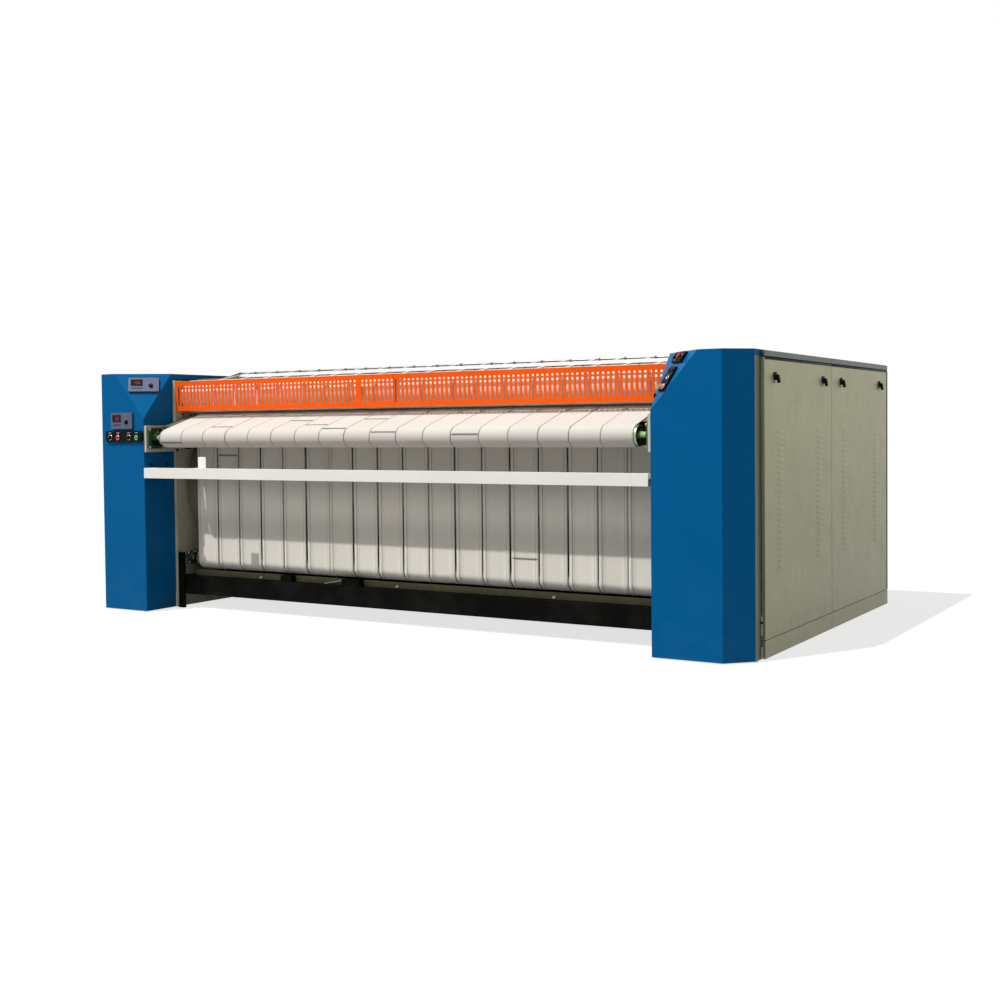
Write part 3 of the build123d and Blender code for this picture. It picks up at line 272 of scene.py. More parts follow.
def metal(name, shade, rough, grain=(1.0, 1.0, 1.0), grain_scale=220.0, stains=0.12, peel=0.05, rust=0.0,
          metallic=1.0, smudges=0.0, painted_foot_shade=0.0):
    """Bare or plated metal: drawn grain, cloudy stains, smudges, painted shade darker towards the foot and a
    little rust.
    """
    tree, shader, place = finish_named(name)
    colour = plain(*shade)
    lines = noise(tree, stretched(tree, place, grain), grain_scale, 3.0, 0.6)
    base = cloudy(tree, noise(tree, place, 3.1, 4.0, 0.6), colour, stains)
    base = blend_colour(tree, band(tree, lines, 0.3, 0.7, 0.0, 0.12), base, darker(colour, 0.75))
    # painted shade: the colour is blended darker towards the floor, most at the foot
    if painted_foot_shade:
        foot_shade_mask = band(tree, height_of(tree, place), 0.1, 1.5, painted_foot_shade, 0.0)
        base = blend_colour(tree, foot_shade_mask, base, darker(colour, 0.3))
    if rust:
        spots = band(tree, noise(tree, place, 26.0, 6.0, 0.7), 0.58, 0.72, 0.0, rust)
        base = blend_colour(tree, spots, base, RUST)
    base = worn_rim(tree, place, base, darker(colour, 1.35), 0.5)
    roughness = band(tree, lines, 0.3, 0.7, rough - 0.06, rough + 0.08)
    if smudges:
        prints = band(tree, noise(tree, place, 11.0, 3.0, 0.5), 0.5, 0.7, 0.0, smudges)
        roughness = maths(tree, "ADD", roughness, prints)
    link_in(tree, shader, Base_Color=base, Roughness=roughness)
    shader.inputs["Metallic"].default_value = metallic
    bumped(tree, shader, lines, peel, 0.0004)


def cloth(name, shade, thread=0.0022, soiled=0.12, sheen=0.25, seam=None):
    """Canvas or tape: weave from the piece's own map, where x is across and y is along, in metres.

    seam is how far from the strip's middle its hems are stitched, if the stitches show."""
    tree, shader, place = finish_named(name)
    colour = plain(*shade)
    weave_map = add_node(tree, "ShaderNodeUVMap", uv_map="weave").outputs[0]
    parts = add_node(tree, "ShaderNodeSeparateXYZ", {0: weave_map})
    across, along = parts.outputs["X"], parts.outputs["Y"]

    def wave(run, length):
        return maths(tree, "SINE", maths(tree, "MULTIPLY", run, 2 * math.pi / length))

    weave = maths(tree, "MULTIPLY", wave(across, thread), wave(along, thread))
    tone = add_node(tree, "ShaderNodeAttribute", attribute_name="tone").outputs["Fac"]
    fibres = noise(tree, stretched(tree, weave_map, (300.0, 40.0, 1.0)), 1.0, 3.0, 0.6)
    slubs = noise(tree, stretched(tree, weave_map, (9.0, 90.0, 1.0)), 1.0, 2.0)
    base = blend_colour(tree, band(tree, fibres, 0.3, 0.7), darker(colour, 0.95), darker(colour, 1.03))
    base = blend_colour(tree, band(tree, slubs, 0.55, 0.75, 0.0, 0.25), base, darker(colour, 0.9))
    base = blend_colour(tree, maths(tree, "MULTIPLY", tone, 0.5), base, darker(colour, 0.88))
    blots = band(tree, noise(tree, place, 5.5, 6.0, 0.72), 0.5, 0.78, 0.0, soiled)
    base = blend_colour(tree, blots, base, SOIL)
    height = maths(tree, "ADD", maths(tree, "MULTIPLY", weave, 0.35), fibres)
    if seam:
        off = maths(tree, "ABSOLUTE", maths(tree, "SUBTRACT", maths(tree, "ABSOLUTE", across), seam))
        line = band(tree, off, 0.0022, 0.0007)
        stitches = maths(tree, "MULTIPLY", line, band(tree, wave(along, STITCH), -0.3, 0.2, 0.55, 1.0))
        base = blend_colour(tree, maths(tree, "MULTIPLY", stitches, 0.95), base, darker(colour, 0.28))
        height = maths(tree, "SUBTRACT", height, maths(tree, "MULTIPLY", line, 3.0))
    link_in(tree, shader, Base_Color=base, Roughness=band(tree, fibres, 0.3, 0.7, 0.84, 0.95))
    shader.inputs["Sheen Weight"].default_value = sheen
    shader.inputs["Sheen Roughness"].default_value = 0.5
    shader.inputs["Specular IOR Level"].default_value = 0.25
    bumped(tree, shader, height, 0.35, 0.0004)


def lit(name, shade, strength):
    """A glowing display segment."""
    tree, shader, place = finish_named(name)
    colour = plain(*shade)
    glow = blend_colour(tree, noise(tree, place, 900.0), darker(colour, 0.8), colour)
    link_in(tree, shader, Base_Color=glow, Emission_Color=glow)
    shader.inputs["Emission Strength"].default_value = strength
    shader.inputs["Roughness"].default_value = 0.3


def moulded(name, shade, rough, texture=500.0, peel=0.12, glow=0.0, shine=0.35):
    """Moulded plastic or rubber with a fine texture and handling shine."""
    tree, shader, place = finish_named(name)
    colour = plain(*shade)
    fine = noise(tree, place, texture, 2.0)
    wide = noise(tree, place, 45.0, 3.0)
    base = worn_rim(tree, place, cloudy(tree, wide, colour, 0.10), darker(colour, 1.8), 0.35)
    link_in(tree, shader, Base_Color=base, Roughness=band(tree, wide, 0.3, 0.7, rough - 0.08, rough + 0.08))
    if glow:
        link_in(tree, shader, Emission_Color=base)
        shader.inputs["Emission Strength"].default_value = glow
    shader.inputs["Specular IOR Level"].default_value = shine
    bumped(tree, shader, fine, peel, 0.0003)


DRAWN_DOWN = (26.0, 26.0, 0.5)
paint("blue_paint", (0, 94, 149), 0.4, bare=(0.05, 0.14, 0.24), dusty=0.02, patchy=0.035, shine=0.06)
paint("cream_paint", (205, 196, 176), 0.5, bare=(0.30, 0.26, 0.2), soot=0.22)
paint("bar_paint", (242, 238, 231), 0.42, bare=(0.45, 0.42, 0.38), patchy=0.03)
paint("guard_orange", (250, 92, 6), 0.42, bare=(0.75, 0.3, 0.1), patchy=0.05, shine=0.15)
paint("black_steel", (5, 5, 4), 0.6, peel=0.12, bare=(0.01, 0.01, 0.01), dusty=0.02, patchy=0.25, shine=0.04)
paint("green_paint", (52, 84, 58), 0.38, peel=0.2, soot=0.5, bare=(0.3, 0.3, 0.26))
paint("olive_paint", (86, 82, 56), 0.5, soot=0.5, patchy=0.15)
paint("motor_grey", (98, 106, 110), 0.45, peel=0.2, soot=0.3)
paint("shaft_green", (150, 178, 128), 0.4, peel=0.15, soot=0.3, patchy=0.15)
paint("disc_green", (44, 72, 46), 0.4, peel=0.25, soot=0.4, patchy=0.2)
# the stainless sheet carries painted shade that darkens it towards the floor
metal("stainless_sheet", (163, 160, 126), 0.4, DRAWN_DOWN, 9.0, 0.045, 0.02, metallic=0.72, smudges=0.04,
      painted_foot_shade=0.5)
metal("corner_steel", (70, 84, 70), 0.34, DRAWN_DOWN, 9.0, 0.08, 0.03, metallic=0.55)
metal("zinc_steel", (176, 174, 166), 0.42, grain_scale=60.0, rust=0.35)
metal("roller_steel", (150, 160, 138), 0.38, (0.4, 8.0, 8.0), 14.0, rust=0.25)
metal("drum_steel", (112, 102, 86), 0.6, (0.5, 3.0, 3.0), 10.0, peel=0.005, rust=0.1, metallic=0.15)
metal("pipe_steel", (90, 80, 75), 0.5, grain_scale=40.0, rust=0.7)
metal("case_silver", (90, 96, 116), 0.42, metallic=0.6, grain_scale=500.0, stains=0.05)
metal("lacing_steel", (96, 92, 84), 0.4, grain_scale=80.0)
metal("chrome_ring", (190, 190, 192), 0.18, stains=0.05)
moulded("latch_black", (10, 10, 9), 0.45, shine=0.1)
moulded("window_dark", (34, 10, 11), 0.3, peel=0.01, shine=0.15)
moulded("plate_black", (9, 9, 10), 0.5, 260.0, shine=0.08)
moulded("knob_black", (12, 12, 13), 0.4, shine=0.15)
moulded("button_red", (200, 18, 24), 0.25, peel=0.02, glow=0.12)
moulded("button_green", (20, 168, 84), 0.25, peel=0.02, glow=0.12)
moulded("button_pink", (226, 88, 92), 0.3, peel=0.02, glow=0.1)
moulded("mushroom_red", (128, 14, 16), 0.35, peel=0.02, shine=0.15)
moulded("rubber_black", (26, 28, 26), 0.7, 300.0, 0.3)
moulded("pale_ring", (214, 210, 206), 0.4)
moulded("legend_white", (228, 228, 224), 0.5)
moulded("seal_dark", (8, 9, 8), 0.6, shine=0.05)
# this dark green colours an upright strip at the rear door's end, and the painted shade on the doors below
# the top strip
moulded("edging_and_gap_shade", (14, 36, 32), 0.5, shine=0.1)
cloth("belt_canvas", (214, 208, 199), soiled=0.10, sheen=0.0)
cloth("iron_canvas", (235, 229, 216), soiled=0.14, seam=IRON_WIDTH / 2 - IRON_HEM)
cloth("roll_cloth", (248, 242, 228), 0.003)
cloth("tape_cotton", (248, 246, 240), 0.0016, soiled=0.06)
lit("display_red", (160, 26, 30), 0.15)


# ------------------------------------------------------------------ mesh making
def new_piece(name, mesh, finish):
    """An object for a mesh whose place is already in its points."""
    mesh.name = name
    made = bpy.data.objects.new(name, mesh)
    bpy.context.scene.collection.objects.link(made)
    mesh.materials.clear()
    mesh.materials.append(finish)
    return made


def solid_mesh(bm, smooth_angle=35.0):
    """A mesh of a bmesh with its normals outwards and its hard edges marked."""
    bmesh.ops.remove_doubles(bm, verts=bm.verts, dist=1e-6)
    bmesh.ops.recalc_face_normals(bm, faces=bm.faces)
    return smooth_mesh(bm, smooth_angle)


def smooth_mesh(bm, smooth_angle):
    """A mesh of a bmesh, shaded smooth, its edges sharp past an angle and where the material changes."""
    limit = math.radians(smooth_angle)
    for face in bm.faces:
        face.smooth = True
    for edge in bm.edges:
        sides = {face.material_index for face in edge.link_faces}
        edge.smooth = len(edge.link_faces) == 2 and len(sides) == 1 and edge.calc_face_angle(0) < limit
    mesh = bpy.data.meshes.new("piece")
    bm.to_mesh(mesh)
    bm.free()
    return mesh


def turned(bm, profile, origin, axis, steps):
    """A lathed shape: profile of (along, radius) about an axis, closed at both ends."""
    axis = Vector(axis).normalized()
    across = axis.orthogonal().normalized()
    third = axis.cross(across)
    rings = []
    for along, radius in profile:
        middle = Vector(origin) + axis * along
        if radius <= 0:
            rings.append([bm.verts.new(middle)])
            continue
        rings.append([bm.verts.new(middle + (across * math.cos(t) + third * math.sin(t)) * radius)
                      for t in (2 * math.pi * k / steps for k in range(steps))])
    for lower, upper in zip(rings, rings[1:]):
        for k in range(steps):
            j = (k + 1) % steps
            corners = []
            for v in (lower[k % len(lower)], lower[j % len(lower)],
                      upper[j % len(upper)], upper[k % len(upper)]):
                if v not in corners:
                    corners.append(v)
            if len(corners) > 2:
                bm.faces.new(corners)
    return bm


def rounded_block(bm, low, high, radius, turn=None):
    """A box with its edges rounded, turned by a matrix about its middle if one is given."""
    low, high = Vector(low), Vector(high)
    middle = (low + high) / 2
    size = high - low
    made = bmesh.ops.create_cube(bm, size=1.0)["verts"]
    for v in made:
        v.co = Vector([a * b for a, b in zip(v.co, size)])
    edges = list({e for v in made for e in v.link_edges})
    if radius:
        made = bmesh.ops.bevel(bm, geom=made + edges, offset=radius, segments=2, profile=0.5,
                               affect="EDGES")["verts"]
    for v in made:
        v.co = middle + (turn @ v.co if turn else v.co)
    return bm


def placed(bm, frame, make):
    """Adds what make builds on a plane's own axes, carried over to that plane."""
    before = len(bm.verts)
    make(bm)
    bm.verts.ensure_lookup_table()
    bmesh.ops.transform(bm, matrix=frame, verts=bm.verts[before:])
    return bm


def rod_through(bm, points, radius, steps):
    """A round bar along points, with a cap at each end."""
    points = [Vector(p) for p in points]
    rings = []
    side = None
    for k, point in enumerate(points):
        ahead = (points[min(k + 1, len(points) - 1)] - points[max(k - 1, 0)]).normalized()
        side = side - ahead * side.dot(ahead) if side else ahead.orthogonal()
        side.normalize()
        third = ahead.cross(side)
        rings.append([bm.verts.new(point + (side * math.cos(t) + third * math.sin(t)) * radius)
                      for t in (2 * math.pi * n / steps for n in range(steps))])
    for lower, upper in zip(rings, rings[1:]):
        for n in range(steps):
            bm.faces.new((lower[n], lower[(n + 1) % steps], upper[(n + 1) % steps], upper[n]))
    bm.faces.new(rings[0][::-1])
    bm.faces.new(rings[-1])
    return bm


def rounded_copy(node, look, width, other=None):
    """A copy of a CAD node with its edges rounded and marked as rims, which takes the node's place.

    other is a second look and the rule, on a face's middle, that says where it goes."""
    bm = bmesh.new()
    bm.from_mesh(nodes[node].data)
    bmesh.ops.remove_doubles(bm, verts=bm.verts, dist=2e-6)
    bmesh.ops.dissolve_limit(bm, angle_limit=math.radians(1.0), verts=bm.verts, edges=bm.edges)
    mesh = bpy.data.meshes.new("copy")
    bm.to_mesh(mesh)
    bm.free()
    piece = new_piece("copy", mesh, finishes[look])
    piece.data.materials.append(finishes[look])
    rounding = piece.modifiers.new("rounding", "BEVEL")
    rounding.width = width
    rounding.segments = 2
    rounding.limit_method = "ANGLE"
    rounding.angle_limit = math.radians(30)
    rounding.material = 1
    bm = bmesh.new()
    bm.from_mesh(evaluated(piece))
    bpy.data.objects.remove(piece)
    mesh = smooth_mesh(bm, 32.0)
    rim = mesh.attributes.new("rim", "FLOAT", "FACE")
    rim.data.foreach_set("value", [float(face.material_index) for face in mesh.polygons])
    piece = new_piece(label_of(node), mesh, finishes[look])
    if other:
        mesh.materials.append(finishes[other[0]])
    for face in mesh.polygons:
        face.material_index = int(bool(other) and other[1](face.center))
    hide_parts(node)
    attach(piece, body_of(node))


def evaluated(piece):
    """The plain mesh of a piece with its modifiers done."""
    bpy.context.view_layer.update()
    depsgraph = bpy.context.evaluated_depsgraph_get()
    return bpy.data.meshes.new_from_object(piece.evaluated_get(depsgraph), preserve_all_data_layers=True,
                                           depsgraph=depsgraph)


def added(name, mesh, look, body="root", slot=None):
    """A new piece that rides on a body."""
    piece = new_piece(name, mesh, finishes[look])
    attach(piece, body)
    if slot:
        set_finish(piece, slot)
    return piece


# ------------------------------------------------------------------ repeated pieces
def tree_with(name, sockets):
    """A new geometry tree with named inputs, and its input node."""
    tree = bpy.data.node_groups.new(name, "GeometryNodeTree")
    tree.interface.new_socket("Geometry", in_out="INPUT", socket_type="NodeSocketGeometry")
    for label, kind in sockets:
        tree.interface.new_socket(label, in_out="INPUT", socket_type="NodeSocket" + kind)
    tree.interface.new_socket("Geometry", in_out="OUTPUT", socket_type="NodeSocketGeometry")
    return tree, tree.nodes.new("NodeGroupInput").outputs


def close_tree(tree, geometry, finish):
    """Realize Instances and Set Material, then the tree's output."""
    real = add_node(tree, "GeometryNodeRealizeInstances", {"Geometry": geometry})
    done = add_node(tree, "GeometryNodeSetMaterial", {"Geometry": real.outputs[0], "Material": finish})
    tree.links.new(done.outputs[0], tree.nodes.new("NodeGroupOutput").inputs[0])


def live(sockets, name=None):
    """The one of a node's sockets, of that name if one is given, that its settings leave in use."""
    return next(socket for socket in sockets if socket.enabled and name in (None, socket.name))


def attribute(tree, label, kind="FLOAT_VECTOR"):
    """A named attribute, read."""
    return add_node(tree, "GeometryNodeInputNamedAttribute", {"Name": label}, data_type=kind).outputs[0]


def stored(tree, geometry, label, value, kind, domain="POINT"):
    """Geometry with a named attribute written on it."""
    made = add_node(tree, "GeometryNodeStoreNamedAttribute", {"Geometry": geometry, "Name": label},
                    data_type=kind, domain=domain)
    feed(tree, live(made.inputs, "Value"), value)
    return made.outputs[0]


def drawn(tree, seed, low=0.0, high=1.0):
    """A random value for each point, from low to high."""
    made = add_node(tree, "FunctionNodeRandomValue", {"Seed": seed}, data_type="FLOAT")
    feed(tree, live(made.inputs, "Min"), low)
    feed(tree, live(made.inputs, "Max"), high)
    return live(made.outputs)


FOLD = 0.0012


def strips_tree():
    """Strips of cloth along a path of points, one strip for each point of the piece's own mesh."""
    tree, given = tree_with("cloth_strips", [("Path", "Object"), ("Width", "Float"), ("Hem", "Float"),
                                             ("Hem Lift", "Float"), ("Flutter", "Float"), ("Steps", "Int"),
                                             ("Seed", "Int"), ("Finish", "Material")])
    path = add_node(tree, "GeometryNodeObjectInfo", {"Object": given["Path"]}).outputs["Geometry"]
    grid = add_node(tree, "GeometryNodeMeshGrid", {"Size X": 8.0, "Size Y": 1.0, "Vertices X": 9,
                                                   "Vertices Y": given["Steps"]})
    position = add_node(tree, "GeometryNodeInputPosition").outputs[0]
    spot = add_node(tree, "ShaderNodeSeparateXYZ", {0: position})
    # nine columns: the middle, then on each side two to the hem line, one past its fold and one at the edge
    column = maths(tree, "ROUND", spot.outputs["X"])
    side, step = maths(tree, "SIGN", column), maths(tree, "ABSOLUTE", column)
    in_hem = maths(tree, "GREATER_THAN", step, 2.5)
    half = maths(tree, "MULTIPLY", given["Width"], 0.5)
    inner = maths(tree, "MULTIPLY", maths(tree, "MINIMUM", step, 2.0),
                  maths(tree, "MULTIPLY", maths(tree, "SUBTRACT", half, given["Hem"]), 0.5))
    fold = maths(tree, "MULTIPLY", in_hem, FOLD)
    rim = maths(tree, "MULTIPLY", maths(tree, "GREATER_THAN", step, 3.5),
                maths(tree, "SUBTRACT", given["Hem"], FOLD))
    across = maths(tree, "MULTIPLY", side, maths(tree, "ADD", inner, maths(tree, "ADD", fold, rim)))
    last = maths(tree, "SUBTRACT", given["Steps"], 1.0)
    row = maths(tree, "ROUND", maths(tree, "MULTIPLY", maths(tree, "ADD", spot.outputs["Y"], 0.5), last))

    def from_path(value, kind):
        """A value of the path's point that stands at the row."""
        found = add_node(tree, "GeometryNodeSampleIndex", {"Geometry": path, "Index": row}, data_type=kind,
                         domain="POINT")
        feed(tree, live(found.inputs, "Value"), value)
        return live(found.outputs)

    outwards = from_path(attribute(tree, "outwards"), "FLOAT_VECTOR")
    run = from_path(attribute(tree, "run", "FLOAT"), "FLOAT")
    weave = add_node(tree, "ShaderNodeCombineXYZ", {0: across, 1: run}).outputs[0]
    cloth_grid = stored(tree, grid.outputs[0], "weave", weave, "FLOAT2", "CORNER")
    cloth_grid = stored(tree, cloth_grid, "way", outwards, "FLOAT_VECTOR")
    raised = maths(tree, "MULTIPLY", in_hem, given["Hem Lift"])
    there = vector_maths(tree, "ADD", from_path(position, "FLOAT_VECTOR"),
                         vector_maths(tree, "SCALE", outwards, scale=raised))
    there = vector_maths(tree, "ADD", there, add_node(tree, "ShaderNodeCombineXYZ", {0: across}).outputs[0])
    laid = add_node(tree, "GeometryNodeSetPosition", {"Geometry": cloth_grid, "Position": there})
    middles = add_node(tree, "GeometryNodeMeshToPoints", {"Mesh": given["Geometry"]})
    toned = stored(tree, middles.outputs[0], "tone", drawn(tree, given["Seed"]), "FLOAT")
    rows = add_node(tree, "GeometryNodeInstanceOnPoints", {"Points": toned, "Instance": laid.outputs[0]})
    real = add_node(tree, "GeometryNodeRealizeInstances", {"Geometry": rows.outputs[0]})
    ripple = noise(tree, vector_maths(tree, "MULTIPLY", position, (9.0, 3.0, 3.0)), 1.0, 2.0)
    lift = maths(tree, "MULTIPLY", maths(tree, "MAXIMUM", maths(tree, "SUBTRACT", ripple, 0.4), 0.0),
                 given["Flutter"])
    offset = vector_maths(tree, "SCALE", attribute(tree, "way"), scale=lift)
    moved = add_node(tree, "GeometryNodeSetPosition", {"Geometry": real.outputs[0], "Offset": offset})
    close_tree(tree, moved.outputs[0], given["Finish"])
    return tree


def scatter_tree():
    """One small part on each point of the piece's own mesh, turned to face the way its point says."""
    tree, given = tree_with("small_parts", [("Part", "Object"), ("Turn Spread", "Float"), ("Seed", "Int"),
                                            ("Finish", "Material")])
    part = add_node(tree, "GeometryNodeObjectInfo", {"Object": given["Part"]}).outputs["Geometry"]
    points = add_node(tree, "GeometryNodeMeshToPoints", {"Mesh": given["Geometry"]})
    turn = add_node(tree, "FunctionNodeAxesToRotation", {0: attribute(tree, "facing"),
                                                         1: attribute(tree, "upwards")},
                    primary_axis="Z", secondary_axis="Y").outputs[0]
    least = maths(tree, "SUBTRACT", 0.0, given["Turn Spread"])
    angle = drawn(tree, given["Seed"], least, given["Turn Spread"])
    spin = add_node(tree, "FunctionNodeAxisAngleToRotation",
                    {"Axis": (0.0, 0.0, 1.0), "Angle": angle}).outputs[0]
    both = add_node(tree, "FunctionNodeRotateRotation", {0: turn, 1: spin}, rotation_space="LOCAL").outputs[0]
    rows = add_node(tree, "GeometryNodeInstanceOnPoints", {"Points": points.outputs[0], "Instance": part,
                                                           "Rotation": both})
    close_tree(tree, rows.outputs[0], given["Finish"])
    return tree


def grown(name, seeds, tree, values, look, body="root", slot=None):
    """A plain mesh grown by a tree from seed points, as a piece on its body."""
    carrier = bpy.data.objects.new(name + "-seeds", seeds)
    bpy.context.scene.collection.objects.link(carrier)
    growing = carrier.modifiers.new("growing", "NODES")
    growing.node_group = tree
    values["Finish"] = finishes[look]
    for item in tree.interface.items_tree:
        if item.in_out == "INPUT" and item.name in values:
            growing[item.identifier] = values[item.name]
    mesh = evaluated(carrier)
    bpy.data.objects.remove(carrier)
    return added(name, mesh, look, body, slot)


def seed_points(places, facing=None, upwards=None):
    """A mesh of loose points, with the way each part on them faces and which way is up on it."""
    mesh = bpy.data.meshes.new("seeds")
    mesh.from_pydata([tuple(p) for p in places], [], [])
    for label, values in (("facing", facing), ("upwards", upwards)):
        if values is not None:
            layer = mesh.attributes.new(label, "FLOAT_VECTOR", "POINT")
            flat = values if isinstance(values, list) else [values] * len(places)
            layer.data.foreach_set("vector", [c for v in flat for c in v])
    return mesh


STRIPS = strips_tree()
PARTS = scatter_tree()

helpers = []


def unit_part(name, mesh):
    """A part kept out of sight that trees repeat or follow."""
    part = bpy.data.objects.new(name, mesh)
    bpy.context.scene.collection.objects.link(part)
    helpers.append(part)
    return part


def scattered(name, part, places, facing, upwards, look, slot, body="root", turn=0.0, seed=3):
    """Many of one small part in one piece."""
    return grown(name, seed_points(places, facing, upwards), PARTS,
                 {"Part": part, "Turn Spread": turn, "Seed": seed}, look, body, slot)


# ------------------------------------------------------------------ cabinets and covers
STRIP_DEPTH, TOP_STRIP = 0.207, 1.4685


def corner_or_top(middle):
    """The corner and top strips, which are darker than the kick strips."""
    return middle.y < at(STRIP_DEPTH) or middle.z > TOP_STRIP


for look, rounding, names in (
        ("blue_paint", 0.0012, "cabinet_shells"), ("bar_paint", 0.0014, "stop_bar"),
        ("plate_black", 0.0012, "control_plates"), ("case_silver", 0.0012, "meter_cases"),
        ("cream_paint", 0.0015, "feed_bearing_plates side_frames"), ("cream_paint", 0.001, "small_brackets"),
        ("black_steel", 0.003, "base_frame"), ("black_steel", 0.002, "cabinet_frames"),
        ("green_paint", 0.002, "flange_bearings drum_bearings"),
        ("stainless_sheet", 0.0007, "front_door rear_door cover_panels"),
        ("stainless_sheet", 0.0009, "roof_panels"), ("stainless_sheet", 0.0008, "feed_bed"),
        ("olive_paint", 0.0008, "front_pan"), ("guard_orange", 0.0005, "guard_left guard_right"),
        ("motor_grey", 0.0015, "drive_motor"), ("mushroom_red", 0.0015, "emergency_button"),
        ("button_red", 0.0015, "stop_button"), ("button_green", 0.0015, "start_button reset_button"),
        ("knob_black", 0.0008, "meter_knob controller_knob left_selector_a left_selector_b right_selector"),
        ("latch_black", 0.001, "latch_front_door_front latch_front_door_rear latch_rear_door_front "
                               "latch_rear_door_rear"),
        ("pipe_steel", 0.001, "exhaust_duct")):
    for node in names.split():
        rounded_copy(node, look, rounding)
rounded_copy("steel_strips", "stainless_sheet", 0.0007, other=("corner_steel", corner_or_top))
for look, names in (
        ("zinc_steel", "levelling_feet tape_rods drum_1_sprocket drum_2_sprocket motor_sprocket"),
        ("pipe_steel", "tape_tube steam_manifold"), ("roller_steel", "press_roll_core"),
        ("drum_steel", "drum_1 drum_2"), ("window_dark", "display_windows")):
    for node in names.split():
        for place in nodes[node].material_slots:
            place.material = finishes[look]


# ------------------------------------------------------------------ belts and tapes
def loop_line(wheels, grow, arc_step=6.0, run_step=0.06):
    """Points round the wheels, grown away from the loop's inside.

    A wheel is y, z, radius and +1 inside the loop or -1 outside it."""
    count = len(wheels)
    runs = []
    for (y1, z1, r1, turn1), (y2, z2, r2, turn2) in zip(wheels, wheels[1:] + wheels[:1]):
        reach1, reach2 = turn1 * r1 + grow, turn2 * r2 + grow
        angle = math.atan2(z2 - z1, y2 - y1) - math.asin((reach2 - reach1) / math.hypot(y2 - y1, z2 - z1))
        away = Vector((-math.sin(angle), math.cos(angle)))
        runs.append((Vector((y1, z1)) - away * reach1, Vector((y2, z2)) - away * reach2))
    line = []
    for k in range(count):
        y, z, radius, turn = wheels[k]
        centre = Vector((y, z))
        start, end = runs[k - 1][1] - centre, runs[k][0] - centre
        low, high = math.atan2(start.y, start.x), math.atan2(end.y, end.x)
        sweep = (high - low) % (2 * math.pi)
        sweep = sweep - 2 * math.pi if turn < 0 else sweep
        pieces = max(2, math.ceil(abs(math.degrees(sweep)) / arc_step))
        for n in range(pieces):
            angle = low + sweep * n / pieces
            line.append(centre + Vector((math.cos(angle), math.sin(angle))) * abs(turn * radius + grow))
        first, last = runs[k]
        pieces = max(2, math.ceil((last - first).length / run_step))
        line += [first.lerp(last, n / pieces) for n in range(pieces)]
    return [Vector((0.0, p.x, p.y)) for p in line]


def path_of(name, points, closed):
    """A path kept out of sight: its points, the way out of the loop at each, and the run so far."""
    count = len(points)
    ways = []
    for k in range(count):
        after = points[(k + 1) % count] if closed or k < count - 1 else points[k]
        before = points[k - 1] if closed or k else points[0]
        ways.append((after - before).cross(Vector((1, 0, 0))).normalized())
    if closed:
        points, ways = points + points[:1], ways + ways[:1]
    mesh = bpy.data.meshes.new(name)
    mesh.from_pydata([tuple(p) for p in points], [(k, k + 1) for k in range(len(points) - 1)], [])
    layer = mesh.attributes.new("outwards", "FLOAT_VECTOR", "POINT")
    layer.data.foreach_set("vector", [c for way in ways for c in way])
    run, total = [0.0], 0.0
    for a, b in zip(points, points[1:]):
        total += (b - a).length
        run.append(total)
    mesh.attributes.new("run", "FLOAT", "POINT").data.foreach_set("value", run)
    return unit_part(name, mesh), len(points), total


def outside_up(bm):
    """Turns an open surface over if its highest face looks down."""
    highest = max(bm.faces, key=lambda face: face.calc_center_median().z)
    if highest.normal.z < 0:
        bmesh.ops.reverse_faces(bm, faces=bm.faces)


def thickened(piece, thickness, offset):
    """Gives cloth its thickness, outwards (1) or inwards (-1)."""
    walls = piece.modifiers.new("thickness", "SOLIDIFY")
    walls.thickness = thickness
    walls.offset = offset


def strips(name, path, middles, sizes, thickness, look, replaced, seed):
    """Belts or tapes at their middles, welded into loops and given their thickness."""
    line, steps, length = path
    width, hem, hem_lift, flutter = sizes
    values = {"Path": line, "Steps": steps, "Seed": seed, "Width": width, "Hem": hem, "Hem Lift": hem_lift,
              "Flutter": flutter}
    piece = grown(name, seed_points([(x, 0, 0) for x in middles]), STRIPS, values, look)
    bm = bmesh.new()
    bm.from_mesh(piece.data)
    bmesh.ops.remove_doubles(bm, verts=bm.verts, dist=1e-5)
    outside_up(bm)
    for face in bm.faces:
        face.smooth = True
    bm.to_mesh(piece.data)
    bm.free()
    thickened(piece, thickness, 1.0)
    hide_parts(*replaced)


BELT_OFF = 0.0006
DRUM_OFF = 0.0045
DRUM_PATH = radius_of("drum_1") + DRUM_OFF
BELT_DRIFT = 0.0012
IRON_DRIFT = 0.0015
iron_strays = {5: 0.0035, 6: -0.0035, 17: -0.0080}
feed_middles = [FEED_MIDDLE + (k - (BELTS - 1) / 2) * FEED_PITCH + chance.uniform(-BELT_DRIFT, BELT_DRIFT)
                for k in range(BELTS)]
feed_path = path_of("feed-belt-line", loop_line([(*NOSE, FEED_ROLLER, 1), (*FEED, FEED_ROLLER, 1)], BELT_OFF),
                    True)
strips("feed-belts", feed_path, feed_middles, (FEED_WIDTH, 0.010, 0.0, 0.0012), 0.0033, "belt_canvas",
       ["feed_belts"], 5)
iron_path = path_of("ironing-belt-line", loop_line(
    [(*LOWER, IRON_ROLLER, 1), (*REAR, IRON_ROLLER, 1), (*DRUM_2, DRUM_PATH, -1), (*MID, IRON_ROLLER, 1),
     (*DRUM_1, DRUM_PATH, -1), (*UPPER, SMALL_ROLLER, 1)], BELT_OFF, run_step=0.12), True)
iron_middles = [IRON_MIDDLE + (k - (BELTS - 1) / 2) * IRON_PITCH
                + iron_strays.get(k, chance.uniform(-IRON_DRIFT, IRON_DRIFT)) for k in range(BELTS)]
